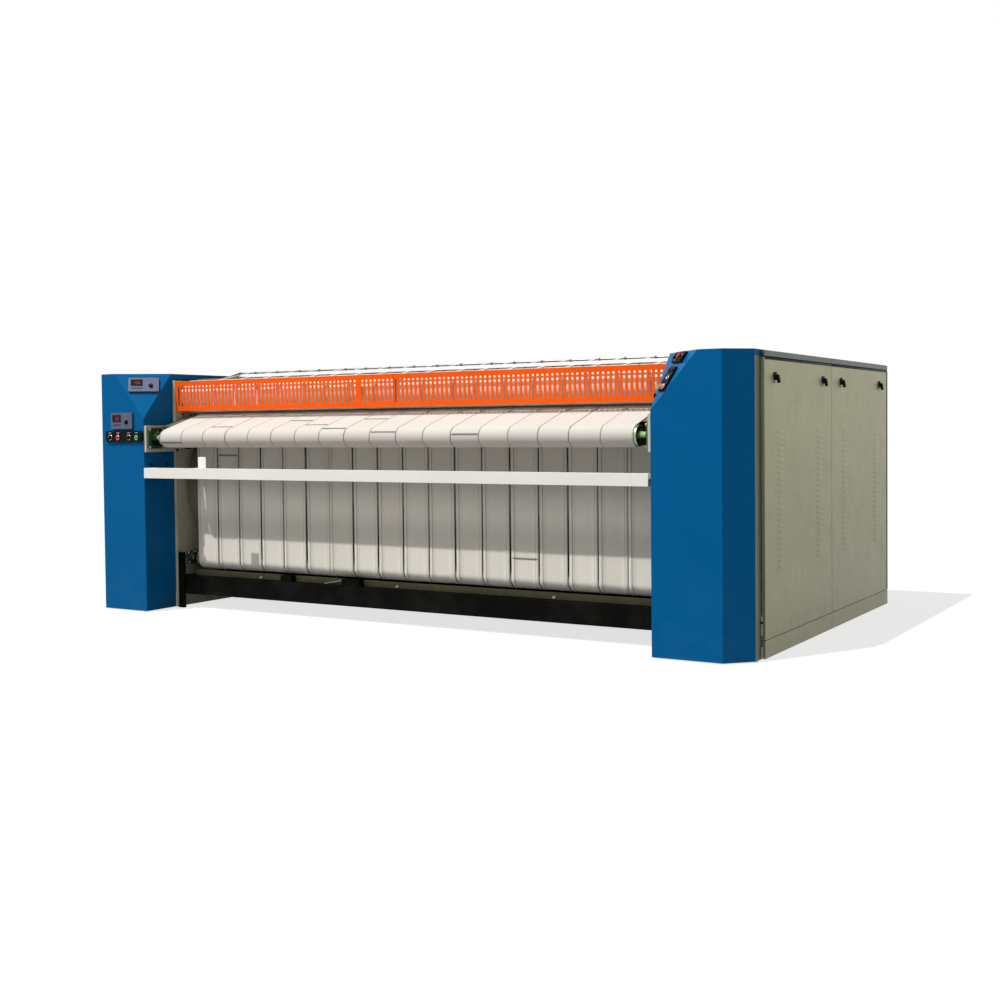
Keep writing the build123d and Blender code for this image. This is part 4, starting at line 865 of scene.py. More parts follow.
strips("ironing-belts", iron_path, iron_middles, (IRON_WIDTH, IRON_HEM, 0.0012, 0.004), 0.0026, "iron_canvas",
       ["ironing_belt_fronts", "ironing_belt_loops"],
       8)


TAPE_REACH = ROD + 0.0008
TAPE_RISE = math.degrees(math.atan2(REAR_ROD[1] - FRONT_ROD[1], REAR_ROD[0] - FRONT_ROD[0]))


def round_rod(rod, start, end, steps, drift):
    """Points round a rod between two angles in degrees, drifted sideways."""
    turns = (math.radians(start + (end - start) * k / steps) for k in range(steps + 1))
    return [Vector((drift, rod[0] + TAPE_REACH * math.cos(t), rod[1] + TAPE_REACH * math.sin(t)))
            for t in turns]


def tape_line():
    """From a sewn loop on the rear rod over the tube and the front rod, and down round the lower rod."""
    top = 90 + TAPE_RISE
    rear = round_rod(REAR_ROD, top - 180, top, 8, 0.070)
    front = round_rod(FRONT_ROD, top, 180, 4, 0.0)
    lower = round_rod(LOWER_ROD, 180, 350, 8, 0.002)
    tail = rear[0] + Vector((-0.006, -0.030, 0.003))
    end = lower[-1] + Vector((0.002, -0.003, 0.026))
    slope = [rear[-1].lerp(front[0], k / 8) for k in range(1, 8)]
    drop = [front[-1].lerp(lower[0], k / 5) + Vector((0.0015 * math.sin(k * 1.7), 0, 0)) for k in range(1, 5)]
    return [tail] + rear + slope + front + drop + lower + [end]


tape_middles = [-1.407, -1.223, -1.038, -0.880, -0.671, -0.516, -0.335, -0.155, 0.012,
                0.179, 0.390, 0.541, 0.723, 0.904, 1.084, 1.240, 1.420, 1.600]
strips("guide-tapes", path_of("tape-line", tape_line(), False), tape_middles,
       (0.014, 0.002, 0.0, 0.0), 0.0011, "tape_cotton", ["guide_tapes"], 4)


ROLL_LOW, ROLL_HIGH = edge("press_roll_cloth", 0, 0), edge("press_roll_cloth", 1, 0)
ROLL_RADIUS = radius_of("press_roll_cloth")
ROLL_THICK = 0.0105


def wound_cloth():
    """The padded cloth of the press roll, wound once round with its end lapped in a long spiral."""
    columns, steps = 48, 72
    wide, girth = ROLL_HIGH - ROLL_LOW, 2 * math.pi * ROLL_RADIUS
    bm = bmesh.new()
    weave = bm.loops.layers.uv.new("weave")
    rings = []
    for k in range(columns + 1):
        tuck = 0.0012 if 0 < k < columns else 0.0
        rings.append([])
        for n in range(steps):
            turn = 2 * math.pi * n / steps
            lap = (turn - k * 0.09) % (2 * math.pi)
            reach = (ROLL_RADIUS - 0.0014 + tuck * max(0.0, 1 - lap / 0.5)
                     + 0.0004 * math.sin(5 * turn + 1.3 * k))
            rings[-1].append(bm.verts.new((ROLL_LOW + wide * k / columns, PRESS[0] + reach * math.cos(turn),
                                           PRESS[1] + reach * math.sin(turn))))
    for k in range(columns):
        for n in range(steps):
            m = (n + 1) % steps
            face = bm.faces.new((rings[k][n], rings[k + 1][n], rings[k + 1][m], rings[k][m]))
            for loop, (column, row) in zip(face.loops, ((k, n), (k + 1, n), (k + 1, n + 1), (k, n + 1))):
                loop[weave].uv = (wide * column / columns, girth * row / steps)
    bmesh.ops.recalc_face_normals(bm, faces=bm.faces)
    outside_up(bm)
    piece = added("press-roll-cloth", smooth_mesh(bm, 60.0), "roll_cloth", body_of("press_roll_cloth"),
                  "roll_cloth")
    thickened(piece, ROLL_THICK, -1.0)
    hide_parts("press_roll_cloth")


wound_cloth()


# ------------------------------------------------------------------ lacing on the belts
FEED_OUTSIDE = FEED_ROLLER + 0.0041


def feed_spot(place):
    """A point on the feed belts' outside, with the ways along and out.

    place is a depth on top of the belts, or an angle in degrees at the nose."""
    turn = math.radians(place) if place > 2 else math.pi / 2 + TILT
    out = Vector((0, math.cos(turn), math.sin(turn)))
    along = Vector((0, -out.z, out.y))
    spot = Vector((0, *NOSE)) + out * FEED_OUTSIDE
    if place <= 2:
        spot -= along * (at(place) - spot.y) / math.cos(TILT)
    return spot, along, out


FEED_PIN, IRON_PIN, PIN_RADIUS = 0.084, 0.080, 0.0012
HOOKS, FIRST_HOOK = 34, 0.0025
hook_places, hook_ways, hook_rises = [], [], []


def lace(bm, middle, half, spot, along, out):
    """A pin across a belt's joint, and the places of the hooks on it."""
    ends = [spot + Vector((middle + side * half, 0, 0)) for side in (-1, 0, 1)]
    rod_through(bm, [end + out * 0.0004 for end in ends], PIN_RADIUS, 6)
    for k in range(HOOKS):
        share = FIRST_HOOK + k * (2 * half - 2 * FIRST_HOOK) / (HOOKS - 1)
        hook_places.append(ends[0] + Vector((share, 0, 0)))
        hook_ways.append(out)
        hook_rises.append(along)


bm = bmesh.new()
for belt, place in {0: 207.4, 2: 0.097, 5: 0.200, 6: 0.117, 7: 120.0, 8: 0.213, 9: 151.0, 12: 167.0}.items():
    lace(bm, feed_middles[belt], FEED_PIN, *feed_spot(place))
for belt, height in ((1, 0.978), (13, 0.420)):
    lace(bm, iron_middles[belt], IRON_PIN, Vector((0, at(0.3196), height)), Vector((0, 0, 1)),
         Vector((0, -1, 0)))
added("lacing-pins", solid_mesh(bm), "lacing_steel", slot="zinc_steel")
bm = bmesh.new()
rod_through(bm, [(0, -0.0065, -0.0006), (0, -0.0055, 0.0006), (0, 0.0, 0.0016), (0, 0.0055, 0.0006),
                 (0, 0.0065, -0.0006)], 0.0006, 4)
hook = unit_part("lacing-hook", solid_mesh(bm))
scattered("lacing-hooks", hook, hook_places, hook_ways, hook_rises, "lacing_steel", "zinc_steel", turn=0.05)


# ------------------------------------------------------------------ rollers
WALL_THICK, DISC_INSET, LIP = 0.005, 0.009, 0.0016
SHAFT, HUB, SHAFT_END = 0.0199, 0.0225, 1.7205


def roller(node, low, high):
    """A turned tube with rounded lips, its end discs with their hubs set in, and its stepped shaft."""
    middle, radius = (0, *axis_of(node)), radius_of(node)
    inside = radius - WALL_THICK
    tube, discs, shaft = bmesh.new(), bmesh.new(), bmesh.new()
    turned(tube, [(low + DISC_INSET, 0.0), (low + DISC_INSET, inside), (low, inside + 0.0006),
                  (low, radius - LIP), (low + 0.0012, radius), (high - 0.0012, radius), (high, radius - LIP),
                  (high, inside + 0.0006), (high - DISC_INSET, inside), (high - DISC_INSET, 0.0)],
           middle, (1, 0, 0), 64)
    for end, way in ((low + DISC_INSET + 0.0005, -1), (high - DISC_INSET - 0.0005, 1)):
        turned(discs, [(0, 0.020), (0.003, 0.020), (0.003, radius * 0.52), (0.0055, radius * 0.56),
                       (0.0055, inside - 0.003), (0.0045, inside - 0.0008), (0, inside - 0.0006), (0, 0.020)],
               (end, *middle[1:]), (way, 0, 0), 48)
    turned(shaft, [(-SHAFT_END, 0.0), (-SHAFT_END, SHAFT - 0.0014), (-SHAFT_END + 0.0015, SHAFT),
                   (low - 0.012, SHAFT), (low - 0.011, HUB), (low + 0.012, HUB), (high - 0.012, HUB),
                   (high + 0.011, HUB), (high + 0.012, SHAFT), (SHAFT_END - 0.0015, SHAFT),
                   (SHAFT_END, SHAFT - 0.0014), (SHAFT_END, 0.0)], middle, (1, 0, 0), 32)
    for part, bm, look in (("-tube", tube, "roller_steel"), ("-discs", discs, "disc_green"),
                           ("-shaft", shaft, "shaft_green")):
        piece = added(label_of(node) + part, solid_mesh(bm), look, body_of(node), "roller_steel")
        if bm is tube:
            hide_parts(node)


for node in ("nose_roller", "rear_feed_roller"):
    roller(node, -1.625, 1.640)
for node in ("lower_front_roller", "upper_front_roller", "mid_roller", "rear_roller"):
    roller(node, -1.618, 1.642)


# ------------------------------------------------------------------ bearings' fittings and bolts
def square(reach):
    """The corners of a square about its middle."""
    return (-reach, -reach), (reach, -reach), (reach, reach), (-reach, reach)


BOLT_INSET, FLANGE_THICK, BEARING_DEEP = 0.011, 0.013, 0.032
FLANGE, PRESS_FLANGE, NOSE_FLANGE, NOSE_FACE = 0.086, 0.110, 0.131, 1.714
DRUM_BOLTS, DRUM_FACE = 0.097, 1.750
bearings = [(NOSE, NOSE_FLANGE, NOSE_FACE), (PRESS, PRESS_FLANGE, WALL)]
bearings += [(axis, FLANGE, WALL) for axis in (FEED, LOWER, UPPER, MID, REAR)]
bolt_places, bolt_ways = [], []
rings, seals, nipples = bmesh.new(), bmesh.new(), bmesh.new()
for side in (-1, 1):
    for (y, z), size, face in bearings:
        for dy, dz in square(size / 2 - BOLT_INSET):
            bolt_places.append((side * (face - FLANGE_THICK), y + dy, z + dz))
            bolt_ways.append((-side, 0, 0))
        hub = (side * (face - BEARING_DEEP), y, z)
        turned(rings, [(-0.001, 0.0204), (0.0012, 0.0204), (0.0016, 0.0225), (0.0012, 0.0245),
                       (-0.001, 0.0245), (-0.001, 0.0204)], hub, (-side, 0, 0), 32)
        turned(seals, [(-0.001, 0.0246), (0.0005, 0.0248), (0.0005, 0.0315), (-0.001, 0.032),
                       (-0.001, 0.0246)], hub, (-side, 0, 0), 32)
        turned(nipples, [(0, 0.0), (0, 0.0038), (0.004, 0.0038), (0.0045, 0.0022), (0.008, 0.002),
                         (0.0086, 0.003), (0.0104, 0.0028), (0.0112, 0.0012), (0.0112, 0.0)],
               (side * (face - 0.024), y, z + 0.0338), (0, 0, 1), 12)
    for y, z in (DRUM_1, DRUM_2):
        for dy, dz in square(DRUM_BOLTS):
            bolt_places.append((side * DRUM_FACE, y + dy, z + dz))
            bolt_ways.append((side, 0, 0))
bolt_places += [(-0.041 + k * 1.041, at(0.337), 0.216) for k in (-1, 0, 1)]
bolt_ways += [(0, -1, 0)] * 3
added("bearing-rings", solid_mesh(rings), "chrome_ring", slot="zinc_steel")
added("bearing-seals", solid_mesh(seals), "rubber_black", slot="black_steel")
added("grease-nipples", solid_mesh(nipples), "zinc_steel", slot="zinc_steel")


def hex_bolt(across, high, washer):
    """A hexagon head with its corners turned off, on a washer, standing on the plane z = 0."""
    bm = bmesh.new()
    turned(bm, [(0, 0.0), (0, washer), (0.0011, washer), (0.0015, washer - 0.0006), (0.0015, 0.0)],
           (0, 0, 0), (0, 0, 1), 16)
    rings = []
    for level, reach in ((0.0015, 1.0), (high - 0.0011, 1.0), (high, 0.86)):
        rings.append([bm.verts.new((across * reach * math.cos(t), across * reach * math.sin(t), level))
                      for t in (math.pi * k / 3 for k in range(6))])
    for lower, upper in zip(rings, rings[1:]):
        for k in range(6):
            bm.faces.new((lower[k], lower[(k + 1) % 6], upper[(k + 1) % 6], upper[k]))
    bm.faces.new(rings[-1])
    bm.faces.new(rings[0][::-1])
    return solid_mesh(bm, 25.0)


bolt = unit_part("bolt", hex_bolt(0.0080, 0.0069, 0.0095))
bolts = scattered("bolts", bolt, bolt_places, bolt_ways, (0, 0, 1), "zinc_steel", "zinc_steel", turn=0.6,
                  seed=11)
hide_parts("fasteners")


# ------------------------------------------------------------------ small fittings
def slab(name, boxes, look, slot, round_off, body="root"):
    """Blocks between corners (x, depth, z), as one piece."""
    bm = bmesh.new()
    for (x1, d1, z1), (x2, d2, z2) in boxes:
        rounded_block(bm, (x1, at(d1), z1), (x2, at(d2), z2), round_off)
    added(name, solid_mesh(bm), look, body, slot)


EDGE_AND_SHADE_IN, EDGE_AND_SHADE_OUT = DOOR_FACE - 0.0008, DOOR_FACE + 0.0008
GAP_SHADE_LOW, GAP_SHADE_HIGH = 1.4525, 1.4628
DOOR_END = 2.4295
STRAP_LEFT, STRAP_RIGHT, STRAP_BACK = -1.299, -1.236, 0.0315
slab("door-seals", [((2.2185, 0.2085, 1.4634), (2.2325, DOOR_END, 1.4686))], "seal_dark", "latch_black",
     0.0005)
# Dark strips laid flat on the doors' faces just below the top strip are painted shade, standing in for the
# shaded gap under it; the rear door also has a dark upright strip along its back end.
slab("front-door-edging", [((EDGE_AND_SHADE_IN, 0.2090, GAP_SHADE_LOW), (EDGE_AND_SHADE_OUT, 1.2720, GAP_SHADE_HIGH))],
     "edging_and_gap_shade", "latch_black", 0.0005, body_of("front_door"))
slab("rear-door-edging", [((EDGE_AND_SHADE_IN, 1.2780, GAP_SHADE_LOW), (EDGE_AND_SHADE_OUT, 2.4060, GAP_SHADE_HIGH)),
                          ((EDGE_AND_SHADE_IN, 2.4070, 0.0980), (EDGE_AND_SHADE_OUT, DOOR_END, GAP_SHADE_HIGH))],
     "edging_and_gap_shade", "latch_black", 0.0005, body_of("rear_door"))
slab("bar-strap", [((STRAP_LEFT, 0.0285, 0.9064), (STRAP_RIGHT, STRAP_BACK, 0.9750)),
                   ((STRAP_LEFT, -0.0100, 0.9062), (STRAP_RIGHT, STRAP_BACK, 0.9084))],
     "bar_paint", "bar_paint", 0.0008)
bm = bmesh.new()
rod_through(bm, [(-0.572, at(0.332), 0.207), (-0.493, at(0.332), 0.222), (-0.415, at(0.332), 0.237)], 0.004,
            12)
added("pan-rod", solid_mesh(bm), "zinc_steel", slot="zinc_steel")
bm = bmesh.new()
for x, depth, height, way, reach in ((-1.7295, 0.057, 0.927, 1, 0.008), (-1.7295, 0.192, 0.928, 1, 0.008),
                                     (-1.7215, 0.274, 1.012, 1, 0.009), (-1.7215, 0.331, 1.242, 1, 0.008),
                                     (-1.7215, 0.309, 1.192, 1, 0.013), (2.2182, 0.1939, 0.1826, 1, 0.007),
                                     (1.7295, 0.064, 1.284, -1, 0.014)):
    turned(bm, [(-0.0005, 0.0), (-0.0005, reach), (0.003, reach), (0.0055, reach * 0.8),
                (0.0068, reach * 0.4), (0.0070, 0.0)], (x, at(depth), height), (way, 0, 0), 20)
turned(bm, [(0, 0.0), (0, 0.010), (0.012, 0.012), (0.020, 0.011), (0.022, 0.006), (0.022, 0.0)],
       (-1.650, at(0.2595), 0.330), (0, -1, 0), 20)
turned(bm, [(0, 0.0205), (0, 0.038), (0.004, 0.040), (0.008, 0.038), (0.008, 0.0205), (0, 0.0205)],
       (-1.664, *LOWER), (1, 0, 0), 32)
added("side-screws", solid_mesh(bm), "latch_black", slot="latch_black")

SCREW_APART = 0.48
REAR_FACE = edge("cover_panels", 1, 1)
screw_places, screw_ways = [], []
for low, high, floor_side, top in ((-2.190, -1.758, 0.036, 1.460), (1.758, 2.190, 0.036, 1.460),
                                   (-1.698, 1.698, 0.036, 0.974), (-1.698, 1.698, 1.176, 1.440)):
    across = max(2, round((high - low) / SCREW_APART) + 1)
    for k in range(across):
        for height in (floor_side, top):
            screw_places.append((low + (high - low) * k / (across - 1), REAR_FACE, height))
            screw_ways.append((0, 1, 0))
for depth in (0.238, 0.740, 1.243, 1.309, 1.855, 2.400):
    for height in (0.126, 0.780, 1.434):
        if depth in (0.740, 1.855) and height == 0.780:
            continue
        screw_places.append((-DOOR_FACE, at(depth), height))
        screw_ways.append((-1, 0, 0))
bm = bmesh.new()
turned(bm, [(0.0, 0.0), (0.0, 0.0062), (0.0012, 0.0060), (0.0026, 0.0044), (0.0031, 0.0020), (0.0018, 0.0016),
            (0.0018, 0.0)], (0, 0, 0), (0, 0, 1), 16)
scattered("cover-screws", unit_part("cover-screw", solid_mesh(bm)), screw_places, screw_ways, (0, 0, 1),
          "zinc_steel", "zinc_steel", turn=0.5, seed=7)


COVER_RADIUS, COVER_THICK = 0.047, 0.0015


def shaft_cover(name, low, high):
    """A bent sheet under the front shaft at one end of the nose roller."""
    middle = Vector(NOSE)
    line = [Vector((at(0.165), 1.152))]
    line += [middle + Vector((math.cos(t), math.sin(t))) * COVER_RADIUS
             for t in (math.radians(330 - 135 * k / 14) for k in range(15))]
    bm = bmesh.new()
    rows = [[bm.verts.new((x, *(p + (p - middle).normalized() * grow))) for p in line]
            for grow in (0.0, COVER_THICK) for x in (low, high)]
    for a, b in ((0, 1), (1, 3), (3, 2), (2, 0)):
        for k in range(len(line) - 1):
            bm.faces.new((rows[a][k], rows[b][k], rows[b][k + 1], rows[a][k + 1]))
    for k in (0, -1):
        bm.faces.new((rows[0][k], rows[1][k], rows[3][k], rows[2][k]))
    added(name, solid_mesh(bm), "black_steel", slot="black_steel")


shaft_cover("left-shaft-cover", -1.699, -1.632)
shaft_cover("right-shaft-cover", 1.646, 1.699)


# ------------------------------------------------------------------ chain
CHAIN_X, CHAIN_OFF, ROUGH_PITCH = 1.860, 0.0042, 0.02095
LINK_END, LINK_HALF, LINK_THICK = 0.0042, 0.0052, 0.0007
SPROCKET, MOTOR_SPROCKET = 0.200, (at(1.312), 0.330, 0.062)


def chain_link(pitch):
    """An outer and an inner link with their rollers: along y, on the plane z = 0."""
    bm = bmesh.new()
    for start, gap in ((0.0, 0.0048), (pitch, 0.0030)):
        for z in (-gap, gap):
            rounded_block(bm, (-LINK_HALF, start - LINK_END, z - LINK_THICK),
                          (LINK_HALF, start + pitch + LINK_END, z + LINK_THICK), 0.0)
        turned(bm, [(-0.0055, 0.0), (-0.0055, 0.0045), (0.0055, 0.0045), (0.0055, 0.0)], (0, start, 0),
               (0, 0, 1), 8)
    return solid_mesh(bm)


chain_line = loop_line([(*MOTOR_SPROCKET, 1), (*DRUM_2, SPROCKET, 1), (*DRUM_1, SPROCKET, 1)], CHAIN_OFF, 3.0,
                       0.02)
chain_run = [0.0]
for a, b in zip(chain_line, chain_line[1:] + chain_line[:1]):
    chain_run.append(chain_run[-1] + (b - a).length)
chain_pairs = round(chain_run[-1] / ROUGH_PITCH / 2)
pair_length = chain_run[-1] / chain_pairs


def on_chain(run):
    """The point of the chain's line at a run from its start."""
    run %= chain_run[-1]
    k = max(n for n, value in enumerate(chain_run[:-1]) if value <= run)
    share = (run - chain_run[k]) / (chain_run[k + 1] - chain_run[k])
    return chain_line[k].lerp(chain_line[(k + 1) % len(chain_line)], share)


link_ends = [on_chain(pair_length * k) for k in range(chain_pairs + 1)]
link_places = [end + Vector((CHAIN_X, 0, 0)) for end in link_ends[:-1]]
link_ways = [(after - before).normalized() for before, after in zip(link_ends, link_ends[1:])]
chain = scattered("drive-chain", unit_part("chain-link", chain_link(pair_length / 2)), link_places, (1, 0, 0),
                  link_ways, "black_steel", "black_steel")
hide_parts("drive_chain")


# ------------------------------------------------------------------ louvers
LOUVER_HALF, LOUVER_SHEET = 0.046, 0.0010


def louver():
    """A pressed louver: closed along its top, open along its lower edge, facing z with its top towards y."""
    profile = ((0.0125, 0.0), (0.0105, 0.0016), (0.0065, 0.0036), (0.0015, 0.0048), (-0.0032, 0.0052))
    bm = bmesh.new()
    grids = []
    for inside in (0.0, LOUVER_SHEET):
        grids.append([])
        for along, out in profile:
            row = []
            for k in range(9):
                share = -1 + k / 4
                fall = max(0.0, 1 - abs(share) ** 5) ** 0.6
                row.append(bm.verts.new((share * (LOUVER_HALF - inside), along - inside * 0.6,
                                         max(out * fall - inside, -0.0008))))
            grids[-1].append(row)
    for rows, step in zip(grids, (1, -1)):
        for lower, upper in zip(rows, rows[1:]):
            for k in range(8):
                bm.faces.new((lower[k], upper[k], upper[k + 1], lower[k + 1])[::step])
    outer, inner = grids
    for k in range(8):
        bm.faces.new((outer[-1][k], inner[-1][k], inner[-1][k + 1], outer[-1][k + 1]))
        bm.faces.new((outer[0][k + 1], inner[0][k + 1], inner[0][k], outer[0][k]))
    for a, b in zip(range(4), range(1, 5)):
        bm.faces.new((outer[a][0], inner[a][0], inner[b][0], outer[b][0]))
        bm.faces.new((outer[b][8], inner[b][8], inner[a][8], outer[a][8]))
    return solid_mesh(bm, 50.0)


LOUVER_LOW, LOUVER_APART, LOUVER_ROWS = 0.430, 0.0292, 24
lip = unit_part("louver", louver())
for door, centres in (("front_door", (0.436, 1.0575)), ("rear_door", (1.520, 2.161))):
    places = [(DOOR_FACE, at(centre), LOUVER_LOW + row * LOUVER_APART) for centre in centres
              for row in range(LOUVER_ROWS)]
    scattered(label_of(door) + "-louvers", lip, places, (1, 0, 0), (0, 0, 1), "stainless_sheet",
              "stainless_sheet", body_of(door))


# ------------------------------------------------------------------ controls
def plane_of(origin, across, out):
    """A matrix from a plane's own axes: x across, y up the plane, z out."""
    across, out = Vector(across).normalized(), Vector(out).normalized()
    up = out.cross(across)
    made = Matrix((across, up, out)).transposed().to_4x4()
    made.translation = Vector(origin)
    return made


def facet_plane(side, x, depth, height, lift):
    """The sloped facet of a cabinet, as the part's own planes lie."""
    across = Vector((0.247, -side * 0.241, 0)).normalized()
    down = Vector((0, 0.241, 0.286)).normalized()
    out = across.cross(down).normalized()
    out = -out if out.y > 0 else out
    level = Vector((side * INNER, FRONT, 1.214))
    point = Vector((x, at(depth), height))
    point -= out * ((point - level).dot(out) - lift)
    return plane_of(point, across, out)


def front_plane(x, height, lift):
    """A plane in front of the cabinets' front."""
    return plane_of((x, FRONT - lift, height), (1, 0, 0), (0, -1, 0))


CASE_LIFT, PLATE_LIFT = 0.014, 0.012
METER = facet_plane(-1, -1.818, 0.091, 1.423, CASE_LIFT)
CONTROLLER = front_plane(-1.911, 1.202, CASE_LIFT)
LEFT_PLATE = front_plane(-1.896, 1.104, PLATE_LIFT)
UPPER_PLATE = facet_plane(1, 1.848, 0.099, 1.468, PLATE_LIFT)
LOWER_PLATE = facet_plane(1, 1.805, 0.052, 1.363, PLATE_LIFT)


def ring(bm, x, y, low, high, inner, outer):
    """A rounded ring on a plane at z low to high."""
    soft = min(0.0007, (high - low) / 3, (outer - inner) / 3)
    turned(bm, [(low, inner), (high - soft, inner), (high, inner + soft), (high, outer - soft),
                (high - soft, outer), (low, outer), (low, inner)], (x, y, 0), (0, 0, 1), 36)


def block(bm, x1, y1, z1, x2, y2, z2, radius):
    """A rounded block between two corners."""
    rounded_block(bm, (x1, y1, z1), (x2, y2, z2), radius)


SEGMENTS = {"0": "abcdef", "1": "bc", "5": "acdfg", "8": "abcdefg"}
BARS = {"a": (0, 1, 0), "b": (0.5, 0.5, 1), "c": (0.5, -0.5, 1), "d": (0, -1, 0), "e": (-0.5, -0.5, 1),
        "f": (-0.5, 0.5, 1), "g": (0, 0, 0)}


def digits(bm, number, x, y, high, level):
    """Bars of a number on a display."""
    wide = high * 0.5
    for place, figure in enumerate(number):
        middle = x + (place - (len(number) - 1) / 2) * wide * 1.55
        for bar in SEGMENTS[figure]:
            bx, by, upright = BARS[bar]
            dx, dy = (high * 0.07, high * 0.20) if upright else (wide * 0.40, high * 0.07)
            cx, cy = middle + bx * wide, y + by * high / 2
            block(bm, cx - dx, cy - dy, level, cx + dx, cy + dy, level + 0.0004, 0.0001)


def case_frames(bm):
    """The raised frame round a case's window."""
    block(bm, -0.079, 0.034, -0.001, -0.005, 0.0375, 0.0022, 0.0008)
    block(bm, -0.079, -0.0095, -0.001, -0.005, -0.006, 0.0022, 0.0008)
    for x in (-0.0785, -0.009):
        block(bm, x, -0.007, -0.001, x + 0.0035, 0.035, 0.0022, 0.0008)


def case_keys(bm):
    """A strip of keys under the window."""
    for k in range(4):
        x = -0.069 + k * 0.018
        block(bm, x - 0.006, -0.031, -0.001, x + 0.006, -0.022, 0.0018, 0.0012)


def case_screws(bm):
    """A screw in each corner of a case's face."""
    for x in (-0.0865, 0.0865):
        for y in (-0.044, 0.044):
            turned(bm, [(-0.001, 0.0), (-0.001, 0.0034), (0.0008, 0.0034), (0.0018, 0.0022), (0.0020, 0.0009),
                        (0.0012, 0.0)], (x, y, 0), (0, 0, 1), 16)


def dial_marks(bm, x, y, low, high, inner, outer):
    """Short lines round a knob."""
    for k in range(11):
        turn = math.radians(low + (high - low) * k / 10)
        spin = Matrix.Rotation(turn, 3, "Z")
        middle = Vector((x, y, 0)) + spin @ Vector((0, (inner + outer) / 2, 0.0001))
        half = Vector((0.0005, (outer - inner) / 2, 0.0002))
        rounded_block(bm, middle - half, middle + half, 0.0, spin)


controls = {
    "window-frames": ("latch_black", "case_silver"), "case-keys": ("rubber_black", "knob_black"),
    "case-screws": ("case_silver", "case_silver"), "scale-marks": ("legend_white", "plate_black"),
    "display-figures": ("display_red", "window_dark"), "button-rings": ("chrome_ring", "zinc_steel"),
    "emergency-ring": ("pale_ring", "plate_black"), "second-button": ("button_pink", "button_red"),
    "small-switches": ("rubber_black", "knob_black"),
}
fittings = {name: bmesh.new() for name in controls}


def fit(name, plane, make, *sizes):
    """Makes a fitting on a plane, into the piece of that name."""
    placed(fittings[name], plane, lambda bm: make(bm, *sizes))


def selector_face(plane, x, y):
    """The ring and the marks round a selector."""
    fit("button-rings", plane, ring, x, y, 0.0, 0.0016, 0.0136, 0.0165)
    fit("scale-marks", plane, dial_marks, x, y, 50, -50, 0.0180, 0.0215)


ROW = -0.008
DIAL_X = 0.043
PLATE_FACE = 0.0030
SELECTORS = {"left_selector_a": (LEFT_PLATE, -0.121, ROW), "left_selector_b": (LEFT_PLATE, 0.045, ROW),
             "right_selector": (UPPER_PLATE, -0.026, -0.004)}
SECOND_BUTTON = (0.021, -0.048)
for plane, number in ((METER, "150"), (CONTROLLER, "180")):
    fit("window-frames", plane, case_frames)
    fit("case-keys", plane, case_keys)
    fit("case-screws", plane, case_screws)
    fit("scale-marks", plane, dial_marks, DIAL_X, ROW, 140, -140, 0.0175, 0.0225)
    fit("display-figures", plane, digits, number, -0.042, 0.014, 0.019, 0.0001)
for plane, x, y in ((LEFT_PLATE, -0.050, ROW), (LEFT_PLATE, 0.115, ROW), (LOWER_PLATE, -0.018, -0.048),
                    (LOWER_PLATE, *SECOND_BUTTON)):
    fit("button-rings", plane, ring, x, y, PLATE_FACE, 0.0046, 0.0116, 0.0158)
fit("emergency-ring", UPPER_PLATE, ring, 0.036, -0.002, PLATE_FACE, 0.0037, 0.0108, 0.0165)
for plane, x, y in SELECTORS.values():
    selector_face(plane, x, y)
fit("button-rings", LOWER_PLATE, ring, 0.014, 0.003, 0.0, 0.0040, 0.0085, 0.0125)
for x in (-0.050, 0.115, -0.121, 0.045):
    fit("scale-marks", LEFT_PLATE, block, x - 0.012, 0.0205, 0.0, x + 0.012, 0.0230, 0.0003, 0.0)


def small_switches(bm):
    """Four small switches with tipped levers."""
    for x, y in ((-0.019, 0.046), (0.014, 0.046), (-0.019, 0.012), (-0.019, -0.018)):
        rounded_block(bm, (x - 0.010, y - 0.009, -0.001), (x + 0.010, y + 0.009, 0.003), 0.0012)
        rounded_block(bm, (x - 0.005, y - 0.006, 0.002), (x + 0.005, y + 0.006, 0.007), 0.0015,
                      Matrix.Rotation(0.35, 3, "X"))


fit("small-switches", LOWER_PLATE, small_switches)
fit("second-button", LOWER_PLATE, turned,
    [(0.0, 0.0), (0.0, 0.0110), (0.0088, 0.0110), (0.0098, 0.0104), (0.0102, 0.0)],
    (*SECOND_BUTTON, 0), (0, 0, 1), 36)
for name, (look, slot) in controls.items():
    added(name, solid_mesh(fittings[name]), look, slot=slot)

KNOB_LEVEL, KNOB_REACH = 0.0121, 0.0125
turning = {"meter_knob": (METER, DIAL_X, ROW, KNOB_LEVEL, KNOB_REACH),
           "controller_knob": (CONTROLLER, DIAL_X, ROW, KNOB_LEVEL, KNOB_REACH)}
for node, level in (("left_selector_a", 0.0141), ("left_selector_b", 0.0141), ("right_selector", 0.0145)):
    turning[node] = (*SELECTORS[node], level, 0.0105)
for node, (plane, x, y, level, reach) in turning.items():
    bm = bmesh.new()
    placed(bm, plane, lambda bm: block(bm, x - 0.0006, y + 0.002, level - 0.0006, x + 0.0006, y + reach,
                                       level + 0.0004, 0.0))
    added(label_of(node) + "-pointer", solid_mesh(bm), "legend_white", body_of(node),
          nodes[node].get("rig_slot") or "knob_black")

for helper in helpers:
    bpy.data.objects.remove(helper)


# ------------------------------------------------------------------ light, floor and camera
FLOOR_GLOW = 0.74
WORLD_LIGHT, WORLD_SEEN = 0.30, 1.0


def seen_rays(tree):
    """1 for what the camera sees straight on, in metal or through glass."""
    paths = add_node(tree, "ShaderNodeLightPath").outputs
    seen = maths(tree, "MAXIMUM", paths["Is Camera Ray"], paths["Is Glossy Ray"])
    return maths(tree, "MAXIMUM", seen, paths["Is Transmission Ray"])


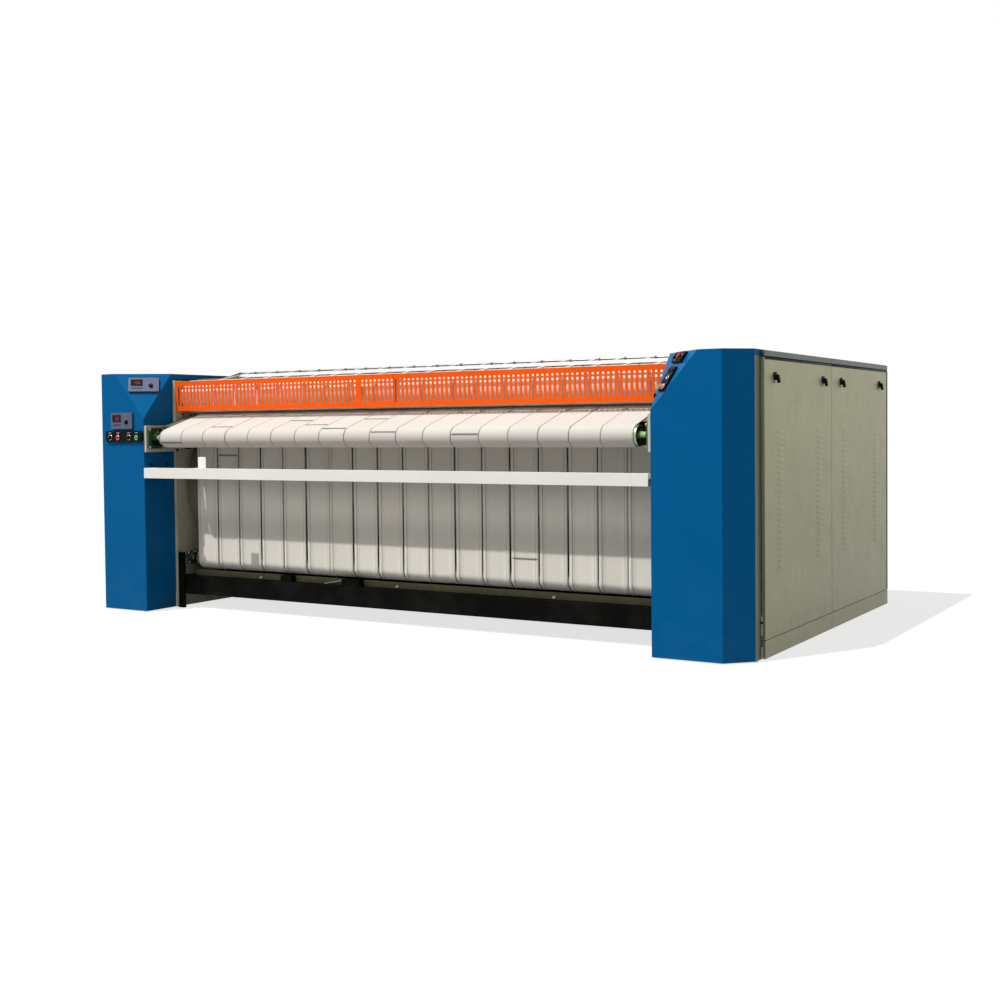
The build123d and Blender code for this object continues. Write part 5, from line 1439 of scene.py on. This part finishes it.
def floor_finish():
    """A pale floor that looks white and still takes the object's shadow."""
    tree, shader, place = finish_named("floor")
    cloud = noise(tree, place, 0.6, 2.0)
    link_in(tree, shader, Base_Color=blend_colour(tree, cloud, plain(140, 140, 140), plain(136, 136, 136)),
            Emission_Strength=maths(tree, "MULTIPLY", seen_rays(tree), FLOOR_GLOW))
    shader.inputs["Roughness"].default_value = 0.9
    shader.inputs["Specular IOR Level"].default_value = 0.0
    shader.inputs["Emission Color"].default_value = (1, 1, 1, 1)


floor_finish()
bm = bmesh.new()
bmesh.ops.create_grid(bm, x_segments=8, y_segments=8, size=30.0)
new_piece("floor", solid_mesh(bm), finishes["floor"])

world = bpy.data.worlds.new("studio")
bpy.context.scene.world = world
world.use_nodes = True
tree = world.node_tree
tree.nodes.clear()
strength = band(tree, seen_rays(tree), 0.0, 1.0, WORLD_LIGHT, WORLD_SEEN)
sky = add_node(tree, "ShaderNodeBackground", {"Color": (1.0, 1.0, 1.0, 1.0), "Strength": strength})
tree.links.new(sky.outputs[0], add_node(tree, "ShaderNodeOutputWorld").inputs["Surface"])


def lamp(name, kind, energy, place, target, **settings):
    """A lamp at a place, aimed at a target."""
    light = bpy.data.lights.new(name, kind)
    light.energy = energy
    for key, value in settings.items():
        setattr(light, key, value)
    held = bpy.data.objects.new(name, light)
    bpy.context.scene.collection.objects.link(held)
    held.location = place
    held.rotation_euler = (Vector(target) - Vector(place)).to_track_quat("-Z", "Y").to_euler()


lamp("key", "SUN", 3.0, (-1.1, -2.1, 4.4), (0, 0, 0), angle=math.radians(0.7))
lamp("fill", "AREA", 150.0, (-1.5, -6.0, 6.5), (0, -1, 1), shape="RECTANGLE", size=4.0, size_y=2.0)

CAMERA_PLACE = Vector((4.395, -7.016, 1.145))
yaw, pitch, roll = math.radians(31.311), math.radians(-1.829), math.radians(-0.596)
ahead = Vector((-math.sin(yaw) * math.cos(pitch), math.cos(yaw) * math.cos(pitch), math.sin(pitch)))
level = Vector((math.cos(yaw), math.sin(yaw), 0))
above = level.cross(ahead)
right = level * math.cos(roll) + above * math.sin(roll)
above = above * math.cos(roll) - level * math.sin(roll)
lens = bpy.data.cameras.new("camera")
lens.lens = 46.84
lens.sensor_width = 36.0
lens.shift_y = -0.0325
camera = bpy.data.objects.new("camera", lens)
bpy.context.scene.collection.objects.link(camera)
camera.matrix_world = Matrix.LocRotScale(CAMERA_PLACE, Matrix((right, above, -ahead)).transposed(), None)
bpy.context.scene.camera = camera
bpy.context.scene.view_settings.view_transform = "Standard"
